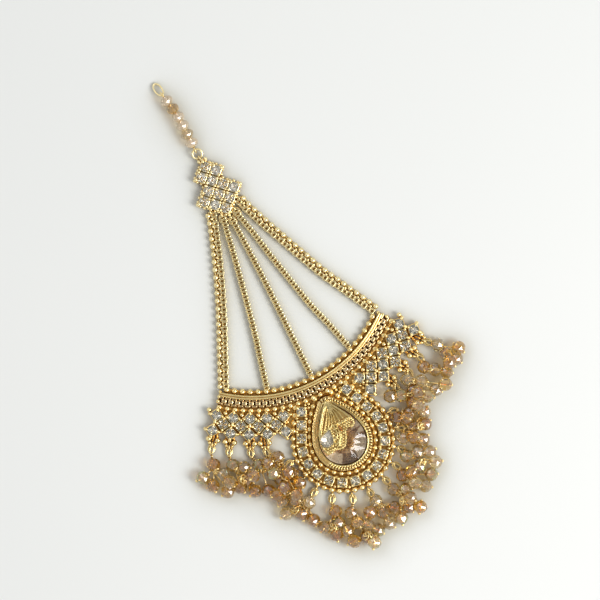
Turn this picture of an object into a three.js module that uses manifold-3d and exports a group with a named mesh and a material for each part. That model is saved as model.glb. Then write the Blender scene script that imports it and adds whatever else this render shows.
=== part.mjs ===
// A jhoomar: a jewel for the side of the head, lying flat, front face up.
// Millimetres. +X is to the right of the jewel, +Y towards its hook eye, +Z up from the surface it lies on.
// The tables use the jewel's own drawing frame, whose origin is the centre of the teardrop setting's round part.
// The last lines shift everything so that the origin is the middle of the underside of the bounding box.
import * as THREE from "three";
import { mergeVertices } from "three/addons/utils/BufferGeometryUtils.js";
import Module from "manifold-3d";

const wasm = await Module();
wasm.setup();

// ---------- driving dimensions ----------
const GAP = 0.3; // between two pieces that touch in the real jewel
const PLATE = 1.3; // thickness of the soldered backing under every row
const ARC = { x: 0.3, y: 69.7 }; // centre of all the arcs of the curved bar and of the side lattices
const MEDALLION = { x: 0.2, y: 0 }; // centre of the medallion ring
const BALL_R = 0.9; // soldered balls
const CUP = { crestHalf: 2.76, latticeHalf: 2.93, half: 2.0, table: 1.45, top: 3.3 }; // half diagonals: footprint, cup and its stone; height
const WIRE = { link: 0.26, pin: 0.22, eye: 0.3 };
const LUG = { r: 0.85, z: 1.17, out: 0.64 }; // a soldered loop that stands on edge: its centre line, height and reach
const RONDELLE = { r: 2.1, half: 1.55, shoulder: 1.3, sides: 6 };
const PIN_BALL_R = 0.45; // ball head of a pin
const CHAIN = { width: 2.3, double: 3.9, height: 2.0, link: 2.3 };
const LINK = { half: 1.25, length: 2.8 }; // half width and length of a wire link, on its centre line
const BEZEL = { r: 9.8, inner: 8.2, height: 4.0, floor: 0.9, lean: -2.5 }; // r: radius of the round part; lean: turn of the point, degrees
// Outline of the teardrop setting: angle from its point in degrees, and reach from the centre where r is 1.
const PEAR = [[0, 16.4], [4, 16.25], [8, 15.6], [12, 14.7], [18, 13.65], [25, 12.72], [32, 12.0], [40, 11.3], [48, 10.75], [57, 10.35], [67, 10.1], [80, 9.9], [95, 9.8], [180, 9.8]].map(([a, d]) => [a, d / 9.8]);
const STONE = { r: 7.9, base: 1.2, top: 5.5, dome: 38, x: 0.3, y: 3 }; // dome: radius of the crown's curve
const LEAF = { thick: 0.9 };
const SMALL = { x: -4.7, y: 2.6, r: 1.8, taper: 34, lean: -38, base: 5.8, top: 7.3 };

// Rows of the curved bar, from the inside of the curve out. deg: half angle of the row.
const BAR = [
  { row: "upper balls", r: 45.8, width: 1.8, top: 2.3, deg: 38.2 },
  { row: "rail", r: 47.7, width: 1.4, top: 2.9, deg: 40.4 },
  { row: "box links", r: 49.7, width: 2.2, top: 2.3, deg: 40.0 },
  { row: "lower balls", r: 52.1, width: 1.5, top: 2.3, deg: 39.5 },
];
// Rows of stones in each side lattice, spaced by STEP degrees and the same on both sides.
const STEP = 6.0;
const LATTICE = [
  { row: "A", r: 54.9, first: 15.2, count: 5 },
  { row: "B", r: 57.5, first: 18.3, count: 4 },
  { row: "C", r: 60.3, first: 15.5, count: 5 },
];
// Pairs of balls under the lattice, with a lug between them. deg: the lug's place on the arc.
const TRIO = { balls: 63.3, lug: 65.05, spread: 1.4 };
// Rows of the medallion ring. Each follows a circle up to its shoulder and then runs straight to its top.
const RING = [
  { row: "outer balls", r: 17.1, shoulder: 27, topX: 9.6, topY: 17.4, width: 1.8, top: 2.3 },
  { row: "stones", r: 14.2, shoulder: 22, topX: 7.7, topR: 8.3, topY: 16.2, width: 4.6, top: PLATE },
  { row: "inner balls", r: 11.1, open: 10, width: 1.8, top: 2.3 }, // follows the setting; open: half angle left at the point
];
const RING_STONES = 18;
// Crest: stones in rows from the top down. across: stones in the row, each two half steps apart.
const CREST = { x: 0, y: 104.35, stepX: 2.8, stepY: 2.6, across: [1, 2, 1, 2, 3, 2, 1] };
// Lugs on the crest. out: direction in degrees from +X.
const CREST_LUGS = [
  { lug: "top", x: -0.4, y: 107.95, toX: -0.3, toY: 104.6 },
  { lug: "1", x: -5.3, y: 89.9, toX: -4.75, toY: 92.3 },
  { lug: "2", x: -2.4, y: 87.3, toX: -2.3, toY: 89.5 },
  { lug: "3", x: 0.1, y: 85.3, toX: 0.05, toY: 88.2 },
  { lug: "4", x: 2.6, y: 87.4, toX: 2.5, toY: 89.6 },
  { lug: "5", x: 5.4, y: 89.9, toX: 4.8, toY: 92.3 },
];
// Chains of the fan, each from its end below the crest down to just above the bar.
const CHAINS = [
  { chain: 1, lug: 1, width: CHAIN.double, route: [[-6.4, 85.8], [-8.3, 80.4], [-10, 75.6], [-14, 65.4], [-18.6, 54.8], [-23.4, 44.6], [-27.5, 35.9]] },
  { chain: 2, lug: 2, width: CHAIN.width, route: [[-2.7, 84.4], [-3.4, 80.8], [-5.3, 70.6], [-7.6, 59.3], [-10.2, 47], [-12.6, 37.5], [-14.9, 28.4]] },
  { chain: 3, lug: 3, width: CHAIN.width, route: [[0.2, 82.4], [0.4, 75], [0.6, 60], [0.5, 42], [0.3, 25.3]] },
  { chain: 4, lug: 4, width: CHAIN.width, route: [[2.8, 84.5], [4.5, 77], [5.7, 70.5], [9.2, 54], [11.3, 45], [13.5, 38], [15.9, 28.9]] },
  { chain: 5, lug: 5, width: CHAIN.double, route: [[6.6, 85.8], [9.3, 78.6], [12.9, 70], [16.4, 61.7], [19.8, 54], [23.6, 46.8], [29.0, 36.6]] },
];
// Top strand: rondelles on one pin, from the top down, and the rings at its two ends.
const STRAND = { x: -0.5, y: 113.8, pitch: 3.3, count: 6, lean: [0, 0.1, 0.1, 0.2, 0.6, 1.2], z: 2.13, loop: 1.05 };
const EYE = { nearX: -2.15, nearY: 132.75, nearZ: 2.1, farX: -3.0, farY: 137.4, farZ: 0.6, half: 1.25 };
const JUMP = { nearX: -0.4, nearY: 107.95, nearZ: 1.2, farX: -0.55, farY: 111.2, farZ: 2.1, half: 1.65 };
// Outline of the leaf, clockwise from its tip.
const LEAF_EDGE = [
  [0.9, 13.6], [2.4, 11.9], [4.3, 9.0], [6.1, 6.4], [6.7, 4.8], [6.3, 3.6], [5.2, 3.0], [4.3, 3.5], [3.5, 3.4], [2.5, 2.7], [1.9, 0.6],
  [0.4, -1.6], [-1.4, -2.3], [-3.2, -1.6], [-5.2, -2.0], [-6.7, -1.6], [-7.3, 0.6], [-7.1, 3.4], [-6.1, 6.4], [-3.9, 9.6], [-1.4, 12.2],
];
// Drops, round the lower edge from left to right. seat: the lug's place in degrees, round the arc's centre for the
// lattices (0 is straight down) and round the medallion's for the ring. neck: centre of the first rondelle.
// knot: where the pins of the bunch meet. beads: [reach from the knot, direction, height, aim of its pin if not outward].
const DROPS = [
  { drop: "drop_left_1", seat: -38.6, neck: [-42.8, 12.5, 2.15], knot: [-43.2, 10.1, 2.15], beads: [[4.9, 179, 2.15, 180], [4.9, -128, 2.15, -92], [2.6, -50, 2.15], [7.9, -86, 2.15, -169], [5.9, -63, 4.3]] },
  { drop: "drop_left_2", seat: -33.4, neck: [-37.1, 9.4, 2.15], knot: [-36.5, 7.1, 2.15], beads: [[2.5, -3, 2.6], [5.7, -107, 2.15, -76], [4.7, -63, 2.15], [9.1, -76, 2.15, -158]] },
  { drop: "drop_left_3", seat: -27.1, neck: [-29.1, 5.5, 2.15], knot: [-28.8, 3.4, 2.15], beads: [[3.6, -177, 6.1], [3.2, 24, 4.4], [4.0, -41, 5.3], [7.2, -100, 2.15, -92]] },
  { drop: "drop_left_4", seat: -22.6, neck: [-22.15, 4.9, 2.15], knot: [-22.5, 2.6, 2.15], beads: [[3.9, -68, 6.1], [5.2, -115, 2.15], [12.4, -113, 2.15, -152], [11.8, -88, 6.1]] },
  { drop: "drop_ring_1", seat: 175, neck: [-20.2, -2.2, 2.15], knot: [-19.8, -4.9, 2.15], beads: [[1.3, -75, 4.2]] },
  { drop: "drop_ring_2", seat: -163, neck: [-23.3, -6.6, 2.15], knot: [-24.9, -7.2, 2.15], beads: [[2.2, 80, 5.7], [3.5, 164, 5.5], [4.0, -67, 2.15]] },
  { drop: "drop_ring_3", seat: -146, neck: [-19.6, -13.5, 2.15], knot: [-21.7, -14.8, 2.15], beads: [[6.6, 168, 2.3, -167], [2.0, -146, 2.15, -107], [4.8, -80, 2.15]] },
  { drop: "drop_ring_4", seat: -128, neck: [-12.9, -20.2, 2.15], knot: [-13.4, -22.6, 2.15], beads: [[5.2, -171, 2.15], [1.6, -98, 2.2], [5.6, -118, 2.15, -107], [5.6, -75, 2.15], [9.6, -80, 3.2, -177]] },
  { drop: "drop_ring_5", seat: -107, neck: [-8.3, -23.1, 2.15], knot: [-7.6, -25.5, 2.15], beads: [[1.4, -99, 3.8], [4.6, -57, 2.15], [7.2, -89, 2.15], [10.1, -79, 4.4, -127], [8.6, -55, 2.15]] },
  { drop: "drop_ring_6", seat: -89, neck: [1.0, -23.2, 2.15], knot: [1.6, -25.6, 2.15], beads: [[4.1, -178, 3.2], [2.15, -91, 2.15], [6.4, -88, 2.3, -66], [4.7, -32, 2.2], [8.1, -56, 2.15, -105]] },
  { drop: "drop_ring_7", seat: -69, neck: [8.2, -22.4, 2.15], knot: [9.5, -24.5, 2.15], beads: [[2.3, 4, 2.15], [3.8, -51, 4.7], [5.6, -83, 2.15], [8.3, -60, 3.2, -125]] },
  { drop: "drop_ring_8", seat: -51, neck: [13.2, -19.4, 2.15], knot: [15.3, -20.6, 2.15], beads: [[1.5, 42, 4.6], [3.0, -81, 4.0], [4.4, 16, 2.15], [6.3, -61, 2.15, -38], [7.3, -23, 2.15]] },
  { drop: "drop_ring_9", seat: -34, neck: [17.2, -14.2, 2.2], knot: [19.4, -15.2, 2.2], beads: [[1.9, 15, 2.15], [5.6, -13, 2.15, 0], [7.7, -42, 3.3, -18]] },
  { drop: "drop_ring_10", seat: -12, neck: [19.1, -8.4, 2.15], knot: [21.5, -8.1, 2.15], beads: [[1.5, -62, 4.4], [4.8, -48, 2.15, 13], [6.3, 8, 2.4], [3.1, 41, 2.7], [9.0, 31, 2.15]] },
  { drop: "drop_ring_11", seat: 6, neck: [20.5, -1.3, 2.15], knot: [22.9, -1.1, 2.15], beads: [[1.5, -87, 5.6], [1.8, -17, 2.15], [4.9, 29, 2.15], [5.6, 7, 5.5]] },
  { drop: "drop_right_4", seat: 21.9, neck: [21.3, 6.5, 2.15], knot: [23.4, 5.6, 2.15], beads: [[1.5, -23, 3.4], [7.2, -16, 6.2], [10.4, -27, 4.6, -40]] },
  { drop: "drop_right_3", seat: 27.7, neck: [28.9, 9.0, 3.0], knot: [30.7, 7.3, 3.0], beads: [[2.5, -22, 3.2], [2.6, -120, 2.15], [8.0, -46, 2.15], [10.8, -31, 3.9]] },
  { drop: "drop_right_2", seat: 33.0, neck: [36.0, 10.2, 2.9], knot: [37.9, 8.7, 2.9], beads: [[1.5, -41, 2.15], [5.5, -38, 2.15]] },
  { drop: "drop_right_1", seat: 37.7, neck: [43.6, 14.9, 2.15], knot: [44.7, 12.8, 2.15], beads: [[1.8, -87, 2.2], [4.9, -93, 5.0, -63], [5.6, -64, 2.15], [5.2, -22, 3.1, -69]] },
];

// ---------- helpers ----------
const RAD = Math.PI / 180;
const v3 = (x, y, z = 0) => new THREE.Vector3(x, y, z);
const onArc = (r, deg, z = 0) => v3(ARC.x + r * Math.sin(deg * RAD), ARC.y - r * Math.cos(deg * RAD), z);

// A closed three.js geometry as a manifold-3d solid.
function solid(geometry) {
  const bare = new THREE.BufferGeometry();
  const flat = geometry.index ? geometry.toNonIndexed() : geometry;
  bare.setAttribute("position", flat.getAttribute("position"));
  const merged = mergeVertices(bare, 1e-4);
  const made = new wasm.Manifold(
    new wasm.Mesh({ numProp: 3, vertProperties: merged.attributes.position.array, triVerts: new Uint32Array(merged.index.array) }),
  );
  if (made.volume() > 0) return made;
  const turned = new Uint32Array(merged.index.array);
  for (let i = 0; i < turned.length; i += 3) [turned[i + 1], turned[i + 2]] = [turned[i + 2], turned[i + 1]];
  return new wasm.Manifold(new wasm.Mesh({ numProp: 3, vertProperties: merged.attributes.position.array, triVerts: turned }));
}
const join = (list) => list.reduce((sum, one) => sum.add(one)).simplify(0.005);

function geometryOf(made) {
  const m = made.getMesh();
  const v = new Float32Array(m.numVert * 3);
  for (let i = 0; i < m.numVert; i++) v.set(m.vertProperties.subarray(i * m.numProp, i * m.numProp + 3), i * 3);
  const g = new THREE.BufferGeometry();
  g.setAttribute("position", new THREE.BufferAttribute(v, 3));
  g.setIndex(new THREE.BufferAttribute(new Uint32Array(m.triVerts), 1));
  g.computeVertexNormals();
  return g;
}

// A straight round wire between two points.
function wire(a, b, r, sides = 4) {
  const span = b.clone().sub(a);
  const g = new THREE.CylinderGeometry(r, r, span.length(), sides, 1);
  g.applyQuaternion(new THREE.Quaternion().setFromUnitVectors(v3(0, 1, 0), span.clone().normalize()));
  g.translate(...a.clone().add(b).multiplyScalar(0.5).toArray());
  return solid(g);
}

class Oval extends THREE.Curve {
  constructor(centre, along, across) {
    super();
    Object.assign(this, { centre, along, across });
  }
  getPoint(t, target = v3()) {
    const a = 2 * Math.PI * t;
    return target.copy(this.centre).addScaledVector(this.along, Math.cos(a)).addScaledVector(this.across, Math.sin(a));
  }
}
// An oval wire link from its near end to its far end (centre lines), with half its width across.
function link(near, far, half, r, segments = 8, sides = 3) {
  const along = far.clone().sub(near).multiplyScalar(0.5);
  const across = v3(0, 0, 1).cross(along).normalize().multiplyScalar(half);
  return solid(new THREE.TubeGeometry(new Oval(near.clone().add(far).multiplyScalar(0.5), along, across), segments, r, sides, true));
}
// A loop that stands on edge, in the plane of its outward direction and +Z.
function lug(centre, outward, r = LUG.r) {
  const along = outward.clone().setZ(0).normalize().multiplyScalar(r);
  return solid(new THREE.TubeGeometry(new Oval(centre, along, v3(0, 0, r)), 5, WIRE.link, 3, true));
}

// A faceted rondelle on an axis, with a length of its pin behind it and the pin's ball head in front.
function rondelle(centre, axis, tail = 0, headed = false) {
  const { r, half, shoulder, sides } = RONDELLE, w = WIRE.pin, ball = PIN_BALL_R;
  const profile = [
    ...(tail > half ? [[0, -tail], [w, -tail], [w, -half]] : [[0, -half]]),
    [shoulder, -half], [r, 0], [shoulder, half],
    ...(headed ? [[w, half], [ball, half + ball], [0, half + 2 * ball]] : [[0, half]]),
  ].map(([x, y]) => new THREE.Vector2(x, y));
  const g = new THREE.LatheGeometry(profile, sides);
  g.applyQuaternion(new THREE.Quaternion().setFromUnitVectors(v3(0, 1, 0), axis.clone().normalize()));
  g.translate(centre.x, centre.y, centre.z);
  return solid(g);
}

function prism(outline, z0, z1) {
  const g = new THREE.ExtrudeGeometry(new THREE.Shape(outline.map(([x, y]) => new THREE.Vector2(x, y))), { depth: z1 - z0, bevelEnabled: false });
  g.translate(0, 0, z0);
  return solid(g);
}
// A bar of rectangular section, swept along a flat route at height 0.
function sweep(points, width, height, steps) {
  const w = width / 2;
  // the section's first axis runs down when the route is flat, so heights go in as negative numbers
  const section = new THREE.Shape([[0, -w], [-height, -w], [-height, w], [0, w]].map(([x, y]) => new THREE.Vector2(x, y)));
  const path = new THREE.CatmullRomCurve3(points, false, "centripetal");
  return solid(new THREE.ExtrudeGeometry(section, { steps, extrudePath: path, bevelEnabled: false }));
}
// Flat outlines: joined into one area and raised from the surface to a height.
const area = (outline) => new wasm.CrossSection([outline], "NonZero");
const raise = (areas, height) => wasm.CrossSection.union(areas).extrude(height);
// The strip of a width along a flat line of points.
function strip(points, width) {
  const left = [], right = [];
  points.forEach((p, i) => {
    const t = points[Math.min(i + 1, points.length - 1)].clone().sub(points[Math.max(i - 1, 0)]).setZ(0).normalize();
    left.push([p.x - (t.y * width) / 2, p.y + (t.x * width) / 2]);
    right.unshift([p.x + (t.y * width) / 2, p.y - (t.x * width) / 2]);
  });
  return area([...left, ...right]);
}
const square = (x, y, deg, half) => area([0, 90, 180, 270].map((a) => [x + half * Math.cos((a + deg) * RAD), y + half * Math.sin((a + deg) * RAD)]));
const disc = (x, y, r, sides = 6) => area(Array.from({ length: sides }, (_, i) => [x + r * Math.cos((2 * Math.PI * i) / sides), y + r * Math.sin((2 * Math.PI * i) / sides)]));
// A square cup with its stone, standing on the backing and turned by deg.
function cup(x, y, deg) {
  const g = new THREE.CylinderGeometry(CUP.table, CUP.half, CUP.top - PLATE + 0.2, 4, 1);
  g.rotateX(Math.PI / 2);
  g.rotateZ(deg * RAD);
  g.translate(x, y, (CUP.top + PLATE - 0.2) / 2);
  return solid(g);
}
// Outline of a teardrop of round radius r whose point makes the given half angle.
function teardrop(r, taper, segments, x = 0, y = 0, lean = 0) {
  const reach = r / Math.sin(taper * RAD);
  const list = [];
  for (let i = 0; i <= segments; i++) {
    const a = (180 - taper + (i / segments) * (180 + 2 * taper)) * RAD;
    list.push([r * Math.cos(a), r * Math.sin(a)]);
  }
  list.push([0, reach]);
  const c = Math.cos(lean * RAD), s = Math.sin(lean * RAD);
  return list.map(([px, py]) => [x + px * c - py * s, y + px * s + py * c]);
}
// Outline of the big setting where its round part has radius r, left open by that angle on both sides of the point.
function pear(r, open = 0, step = 11) {
  const reach = (a) => {
    const k = PEAR.findIndex(([at]) => at >= a), [a1, d1] = PEAR[k], [a0, d0] = PEAR[Math.max(0, k - 1)];
    return a1 === a0 ? d1 : d0 + ((d1 - d0) * (a - a0)) / (a1 - a0);
  };
  const half = PEAR.map(([a]) => a).filter((a) => a > open && a < 95);
  for (let a = 95; a < 180; a += step) half.push(a);
  const turns = open ? [open, ...half, 180, ...half.map((a) => -a).reverse(), -open] : [0, ...half, 180, ...half.map((a) => -a).reverse()];
  const c = Math.cos(BEZEL.lean * RAD), s = Math.sin(BEZEL.lean * RAD);
  return turns.map((a) => {
    const d = r * reach(Math.abs(a)), px = -d * Math.sin(a * RAD), py = d * Math.cos(a * RAD);
    return [MEDALLION.x + px * c - py * s, MEDALLION.y + px * s + py * c];
  });
}
// The space under a shallow dome over the big stone, raised by lift.
function dome(lift) {
  const r = STONE.dome + lift, base = -10; // the base lies well under the stone
  const profile = [[0, base - STONE.top]].concat([20, 14, 9.5, 5, 0].map((d) => [d, Math.sqrt(r * r - d * d) - STONE.dome]));
  profile.splice(1, 0, [20, base - STONE.top]);
  const g = new THREE.LatheGeometry(profile.map(([x, y]) => new THREE.Vector2(x, y)), 16);
  g.rotateX(Math.PI / 2);
  g.translate(STONE.x, STONE.y, STONE.top);
  return solid(g);
}
// Points along one row of the medallion ring.
function ringPath({ r, shoulder, topX, topR = topX, topY, open }, z = 0) {
  if (open) return pear(r, open).map(([x, y]) => v3(x, y, z));
  const list = [v3(MEDALLION.x - topX, topY, z)];
  const from = 180 - shoulder, span = 180 + 2 * shoulder;
  for (let i = 0; i <= 12; i++) {
    const a = (from + (span * i) / 12) * RAD;
    list.push(v3(MEDALLION.x + r * Math.cos(a), MEDALLION.y + r * Math.sin(a), z));
  }
  list.push(v3(MEDALLION.x + topR, topY, z));
  return list;
}

// ---------- the pieces ----------
const pieces = [];
const gold = new THREE.MeshStandardMaterial({ color: 0xd8b566, roughness: 0.28, metalness: 1 });
const champagne = new THREE.MeshStandardMaterial({ color: 0xd9a981, roughness: 0.05, metalness: 0 });
const clear = new THREE.MeshStandardMaterial({ color: 0xdfe3e6, roughness: 0.05, metalness: 0 });
function add(name, made, material) {
  const mesh = new THREE.Mesh(geometryOf(made), material);
  mesh.name = name;
  pieces.push(mesh);
}

// hook eye, top strand and the ring under it
add("hook_eye", link(v3(EYE.nearX, EYE.nearY, EYE.nearZ), v3(EYE.farX, EYE.farY, EYE.farZ), EYE.half, WIRE.eye, 14, 5), gold);
{
  const centres = STRAND.lean.map((lean, i) => v3(STRAND.x - lean, STRAND.y + i * STRAND.pitch, STRAND.z));
  const last = centres[centres.length - 1];
  const low = v3(JUMP.farX, JUMP.farY, JUMP.farZ), high = v3(EYE.nearX, EYE.nearY, EYE.nearZ);
  const made = centres.map((c, i) => (i === 0 ? rondelle(c, v3(0, 1, 0)) : rondelle(c, c.clone().sub(centres[i - 1]), STRAND.pitch)));
  const up = high.clone().sub(last);
  made.push(lug(low, v3(0, 1, 0), STRAND.loop), wire(v3(low.x, low.y + STRAND.loop, STRAND.z), centres[0], WIRE.link));
  made.push(lug(high, up, STRAND.loop), wire(last, high.clone().addScaledVector(up.clone().normalize(), -STRAND.loop), WIRE.link));
  add("bead_strand", join(made), champagne);
}
add("jump_ring", link(v3(JUMP.nearX, JUMP.nearY, JUMP.nearZ), v3(JUMP.farX, JUMP.farY, JUMP.farZ), JUMP.half, WIRE.link, 12, 5), gold);

// crest
{
  const feet = [], made = [];
  CREST.across.forEach((n, row) => {
    for (let i = 0; i < n; i++) {
      const x = CREST.x + (2 * i - (n - 1)) * CREST.stepX, y = CREST.y - row * CREST.stepY;
      feet.push(square(x, y, 0, CUP.crestHalf));
      made.push(cup(x, y, 0));
    }
  });
  made.push(raise(feet, PLATE));
  for (const { x, y, toX, toY } of CREST_LUGS) {
    const centre = v3(x, y, LUG.z), out = centre.clone().sub(v3(toX, toY, LUG.z));
    made.push(lug(centre, out), wire(centre.clone().addScaledVector(out.clone().normalize(), -LUG.r), v3(toX, toY, 0.9), WIRE.link * 1.5));
  }
  add("crest", join(made), gold);
}

// chains, each with the ring that hangs it on the crest
for (const { chain, lug: on, width, route } of CHAINS) {
  const at = CREST_LUGS[on];
  const start = v3(route[0][0], route[0][1], LUG.z);
  const tube = sweep(route.map(([x, y]) => v3(x, y)), width, CHAIN.height, 7);
  add("chain_" + chain, tube.add(link(v3(at.x, at.y, LUG.z), start, LINK.half, WIRE.link)), gold);
}

// frame: bar, lattices, trios and medallion ring, soldered into one
{
  const backing = [], low = [], made = [];
  const arc = (r, from, to, steps) => Array.from({ length: steps + 1 }, (_, i) => onArc(r, from + ((to - from) * i) / steps));
  for (const { r, width, top, deg } of BAR) {
    const row = strip(arc(r, -deg, deg, 12), width);
    if (top === BAR[0].top) low.push(row);
    else made.push(raise([row], top));
  }
  const inside = BAR[0].r, outside = BAR[BAR.length - 1].r;
  backing.push(strip(arc((inside + outside) / 2, -BAR[0].deg, BAR[0].deg, 12), outside - inside));
  for (const side of [-1, 1]) {
    const last = LATTICE[0].first + STEP * 4, width = LATTICE[2].r - LATTICE[0].r;
    backing.push(strip(arc(LATTICE[1].r, side * LATTICE[0].first, side * last, 6), width));
    for (const { r, first, count } of LATTICE)
      for (let i = 0; i < count; i++) {
        const deg = side * (first + i * STEP), p = onArc(r, deg);
        backing.push(square(p.x, p.y, deg, CUP.latticeHalf));
        made.push(cup(p.x, p.y, deg));
      }
  }
  for (const { drop, seat } of DROPS) {
    if (drop.startsWith("drop_ring")) {
      const out = v3(Math.cos(seat * RAD), Math.sin(seat * RAD));
      made.push(lug(v3(MEDALLION.x, MEDALLION.y, LUG.z).addScaledVector(out, RING[0].r + BALL_R + LUG.out), out));
    } else {
      for (const s of [-1, 1]) {
        const p = onArc(TRIO.balls, seat + s * TRIO.spread);
        low.push(disc(p.x, p.y, BALL_R));
        backing.push(strip([p, onArc(TRIO.balls - 3.4, seat + s * TRIO.spread * 0.4)], 1.2));
      }
      const centre = onArc(TRIO.lug, seat, LUG.z), out = centre.clone().sub(onArc(TRIO.balls, seat, LUG.z));
      backing.push(strip([onArc(TRIO.lug - LUG.r + 0.1, seat), onArc(TRIO.balls - 2, seat)], 1.0));
      made.push(lug(centre, out));
    }
  }
  for (const row of RING) (row.top > PLATE ? low : backing).push(strip(ringPath(row), row.width));
  // stones spaced evenly along the middle row, each square to it
  const middle = new THREE.CatmullRomCurve3(ringPath({ ...RING[1], topY: 15.2, topX: 8.3, topR: 8.9 }), false, "centripetal");
  for (let i = 0; i < RING_STONES; i++) {
    const p = middle.getPointAt(i / (RING_STONES - 1)), t = middle.getTangentAt(i / (RING_STONES - 1));
    made.push(cup(p.x, p.y, Math.atan2(t.y, t.x) / RAD + 45));
  }
  made.push(raise(backing, PLATE), raise(low, BAR[0].top));
  add("frame", join(made), gold);
}

// teardrop setting, its stone, the leaf over it and the small stone in the leaf
{
  const { r, inner, height, floor } = BEZEL;
  add("bezel", prism(pear(r), 0, height).subtract(prism(pear(inner), floor, height + 1)), gold);
  add("drop_stone", prism(pear(STONE.r), STONE.base, STONE.top + 1).intersect(dome(0)), champagne);
  const hole = prism(teardrop(SMALL.r + GAP, SMALL.taper, 10, SMALL.x, SMALL.y, SMALL.lean), 0, 12);
  add("leaf", prism(LEAF_EDGE, 3, 9).intersect(dome(GAP + LEAF.thick)).subtract(dome(GAP)).subtract(hole), gold);
  const girdle = prism(teardrop(SMALL.r, SMALL.taper, 10, SMALL.x, SMALL.y, SMALL.lean), SMALL.base, SMALL.base + 0.5);
  const table = prism(teardrop(SMALL.r * 0.55, SMALL.taper, 10, SMALL.x, SMALL.y, SMALL.lean), SMALL.top - 0.05, SMALL.top);
  add("small_stone", wasm.Manifold.hull([girdle, table]), clear);
}

// drops: an oval link, the first rondelle on its pin, and the bunch below it
for (const { drop, seat, neck, knot, beads } of DROPS) {
  const ring = drop.startsWith("drop_ring");
  const out = ring ? v3(Math.cos(seat * RAD), Math.sin(seat * RAD)) : v3(Math.sin(seat * RAD), -Math.cos(seat * RAD));
  const near = ring ? v3(MEDALLION.x, MEDALLION.y, LUG.z).addScaledVector(out, RING[0].r + BALL_R + LUG.out) : onArc(TRIO.lug, seat, LUG.z);
  const first = v3(...neck), tie = v3(...knot);
  // the link leans from its lug towards the first rondelle, and stops short of it
  const lie = first.clone().sub(near).setZ(0).normalize().add(out.clone().multiplyScalar(1.8)).normalize();
  const far = near.clone().addScaledVector(lie, LINK.length);
  // the pins of the bunch leave the first rondelle at its lower end
  const root = first.clone().lerp(tie, 0.4);
  const made = [link(near, far, LINK.half, WIRE.link), rondelle(first, first.clone().sub(far), first.distanceTo(far))];
  for (const [reach, turn, height, aim] of beads) {
    const centre = v3(tie.x + reach * Math.cos(turn * RAD), tie.y + reach * Math.sin(turn * RAD), height);
    const pin = centre.clone().sub(root);
    if (aim === undefined) made.push(rondelle(centre, pin, pin.length()));
    else made.push(wire(root, centre, WIRE.pin, 3), rondelle(centre, v3(Math.cos(aim * RAD), Math.sin(aim * RAD), 0), 0, true));
  }
  add(drop, join(made), champagne);
}

// ---------- the group, on the surface and centred ----------
const jewel = new THREE.Group();
for (const mesh of pieces) jewel.add(mesh);
const box = new THREE.Box3().setFromObject(jewel, true);
jewel.position.set(-(box.min.x + box.max.x) / 2, -(box.min.y + box.max.y) / 2, -box.min.z);
const group = new THREE.Group();
group.add(jewel);
export default group;
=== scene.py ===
import math

import bmesh
import bpy
import numpy as np
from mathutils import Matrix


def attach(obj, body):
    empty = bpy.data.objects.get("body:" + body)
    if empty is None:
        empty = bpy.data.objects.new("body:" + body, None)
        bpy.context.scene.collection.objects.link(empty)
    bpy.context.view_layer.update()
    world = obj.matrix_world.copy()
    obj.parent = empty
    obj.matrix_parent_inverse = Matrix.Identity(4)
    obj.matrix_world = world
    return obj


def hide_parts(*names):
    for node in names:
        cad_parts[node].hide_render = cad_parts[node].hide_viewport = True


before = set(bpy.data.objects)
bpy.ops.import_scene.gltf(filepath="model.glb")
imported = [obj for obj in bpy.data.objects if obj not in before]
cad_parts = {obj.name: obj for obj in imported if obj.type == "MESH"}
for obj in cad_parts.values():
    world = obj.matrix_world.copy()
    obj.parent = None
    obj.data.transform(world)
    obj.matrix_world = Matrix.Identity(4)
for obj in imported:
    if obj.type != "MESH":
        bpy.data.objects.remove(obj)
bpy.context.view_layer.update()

# ----------------------------------------------------------------------------------------------------------------
# A jhoomar. The tables hold millimetres in the jewel's own drawing frame, whose origin is the centre of the round
# part of the teardrop setting. SHIFT takes them to the row frame.
# ----------------------------------------------------------------------------------------------------------------
SHIFT = np.array([-0.335, -50.155, 0.0])
PLATE = 1.3
ARC = (0.3, 69.7)
MEDALLION = (0.2, 0.0)
BALL_R = 0.9
WIRE = {"link": 0.26, "pin": 0.2, "eye": 0.3}
LUG = {"r": 0.85, "z": 1.17, "out": 0.64}
RONDELLE = {"r": 2.4, "half": 2.1}
LINK = {"half": 1.25, "length": 2.8}
BAR = {"upper": 45.8, "rail": 47.7, "boxes": 49.7, "lower": 52.1}
BAR_DEG = {"upper": 38.2, "rail": 40.4, "boxes": 40.0, "lower": 39.5}
STEP = 6.0
LATTICE = [(54.9, 15.2, 5), (57.5, 18.3, 4), (60.3, 15.5, 5)]  # radius, first angle, stones
TRIO = {"balls": 63.3, "lug": 65.05, "spread": 1.4}
RING = {  # radius, shoulder, top x on the left and on the right, top y
    "outer": (17.1, 27, 9.6, 9.6, 17.4),
    "stones": (14.2, 22, 8.3, 8.9, 15.2),
    "inner": (11.1, 10),  # follows the setting: radius, half angle left open at the point
}
RING_STONES = 18
BEZEL = {"r": 9.8, "inner": 8.2, "height": 4.0, "lean": -2.5}
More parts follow.
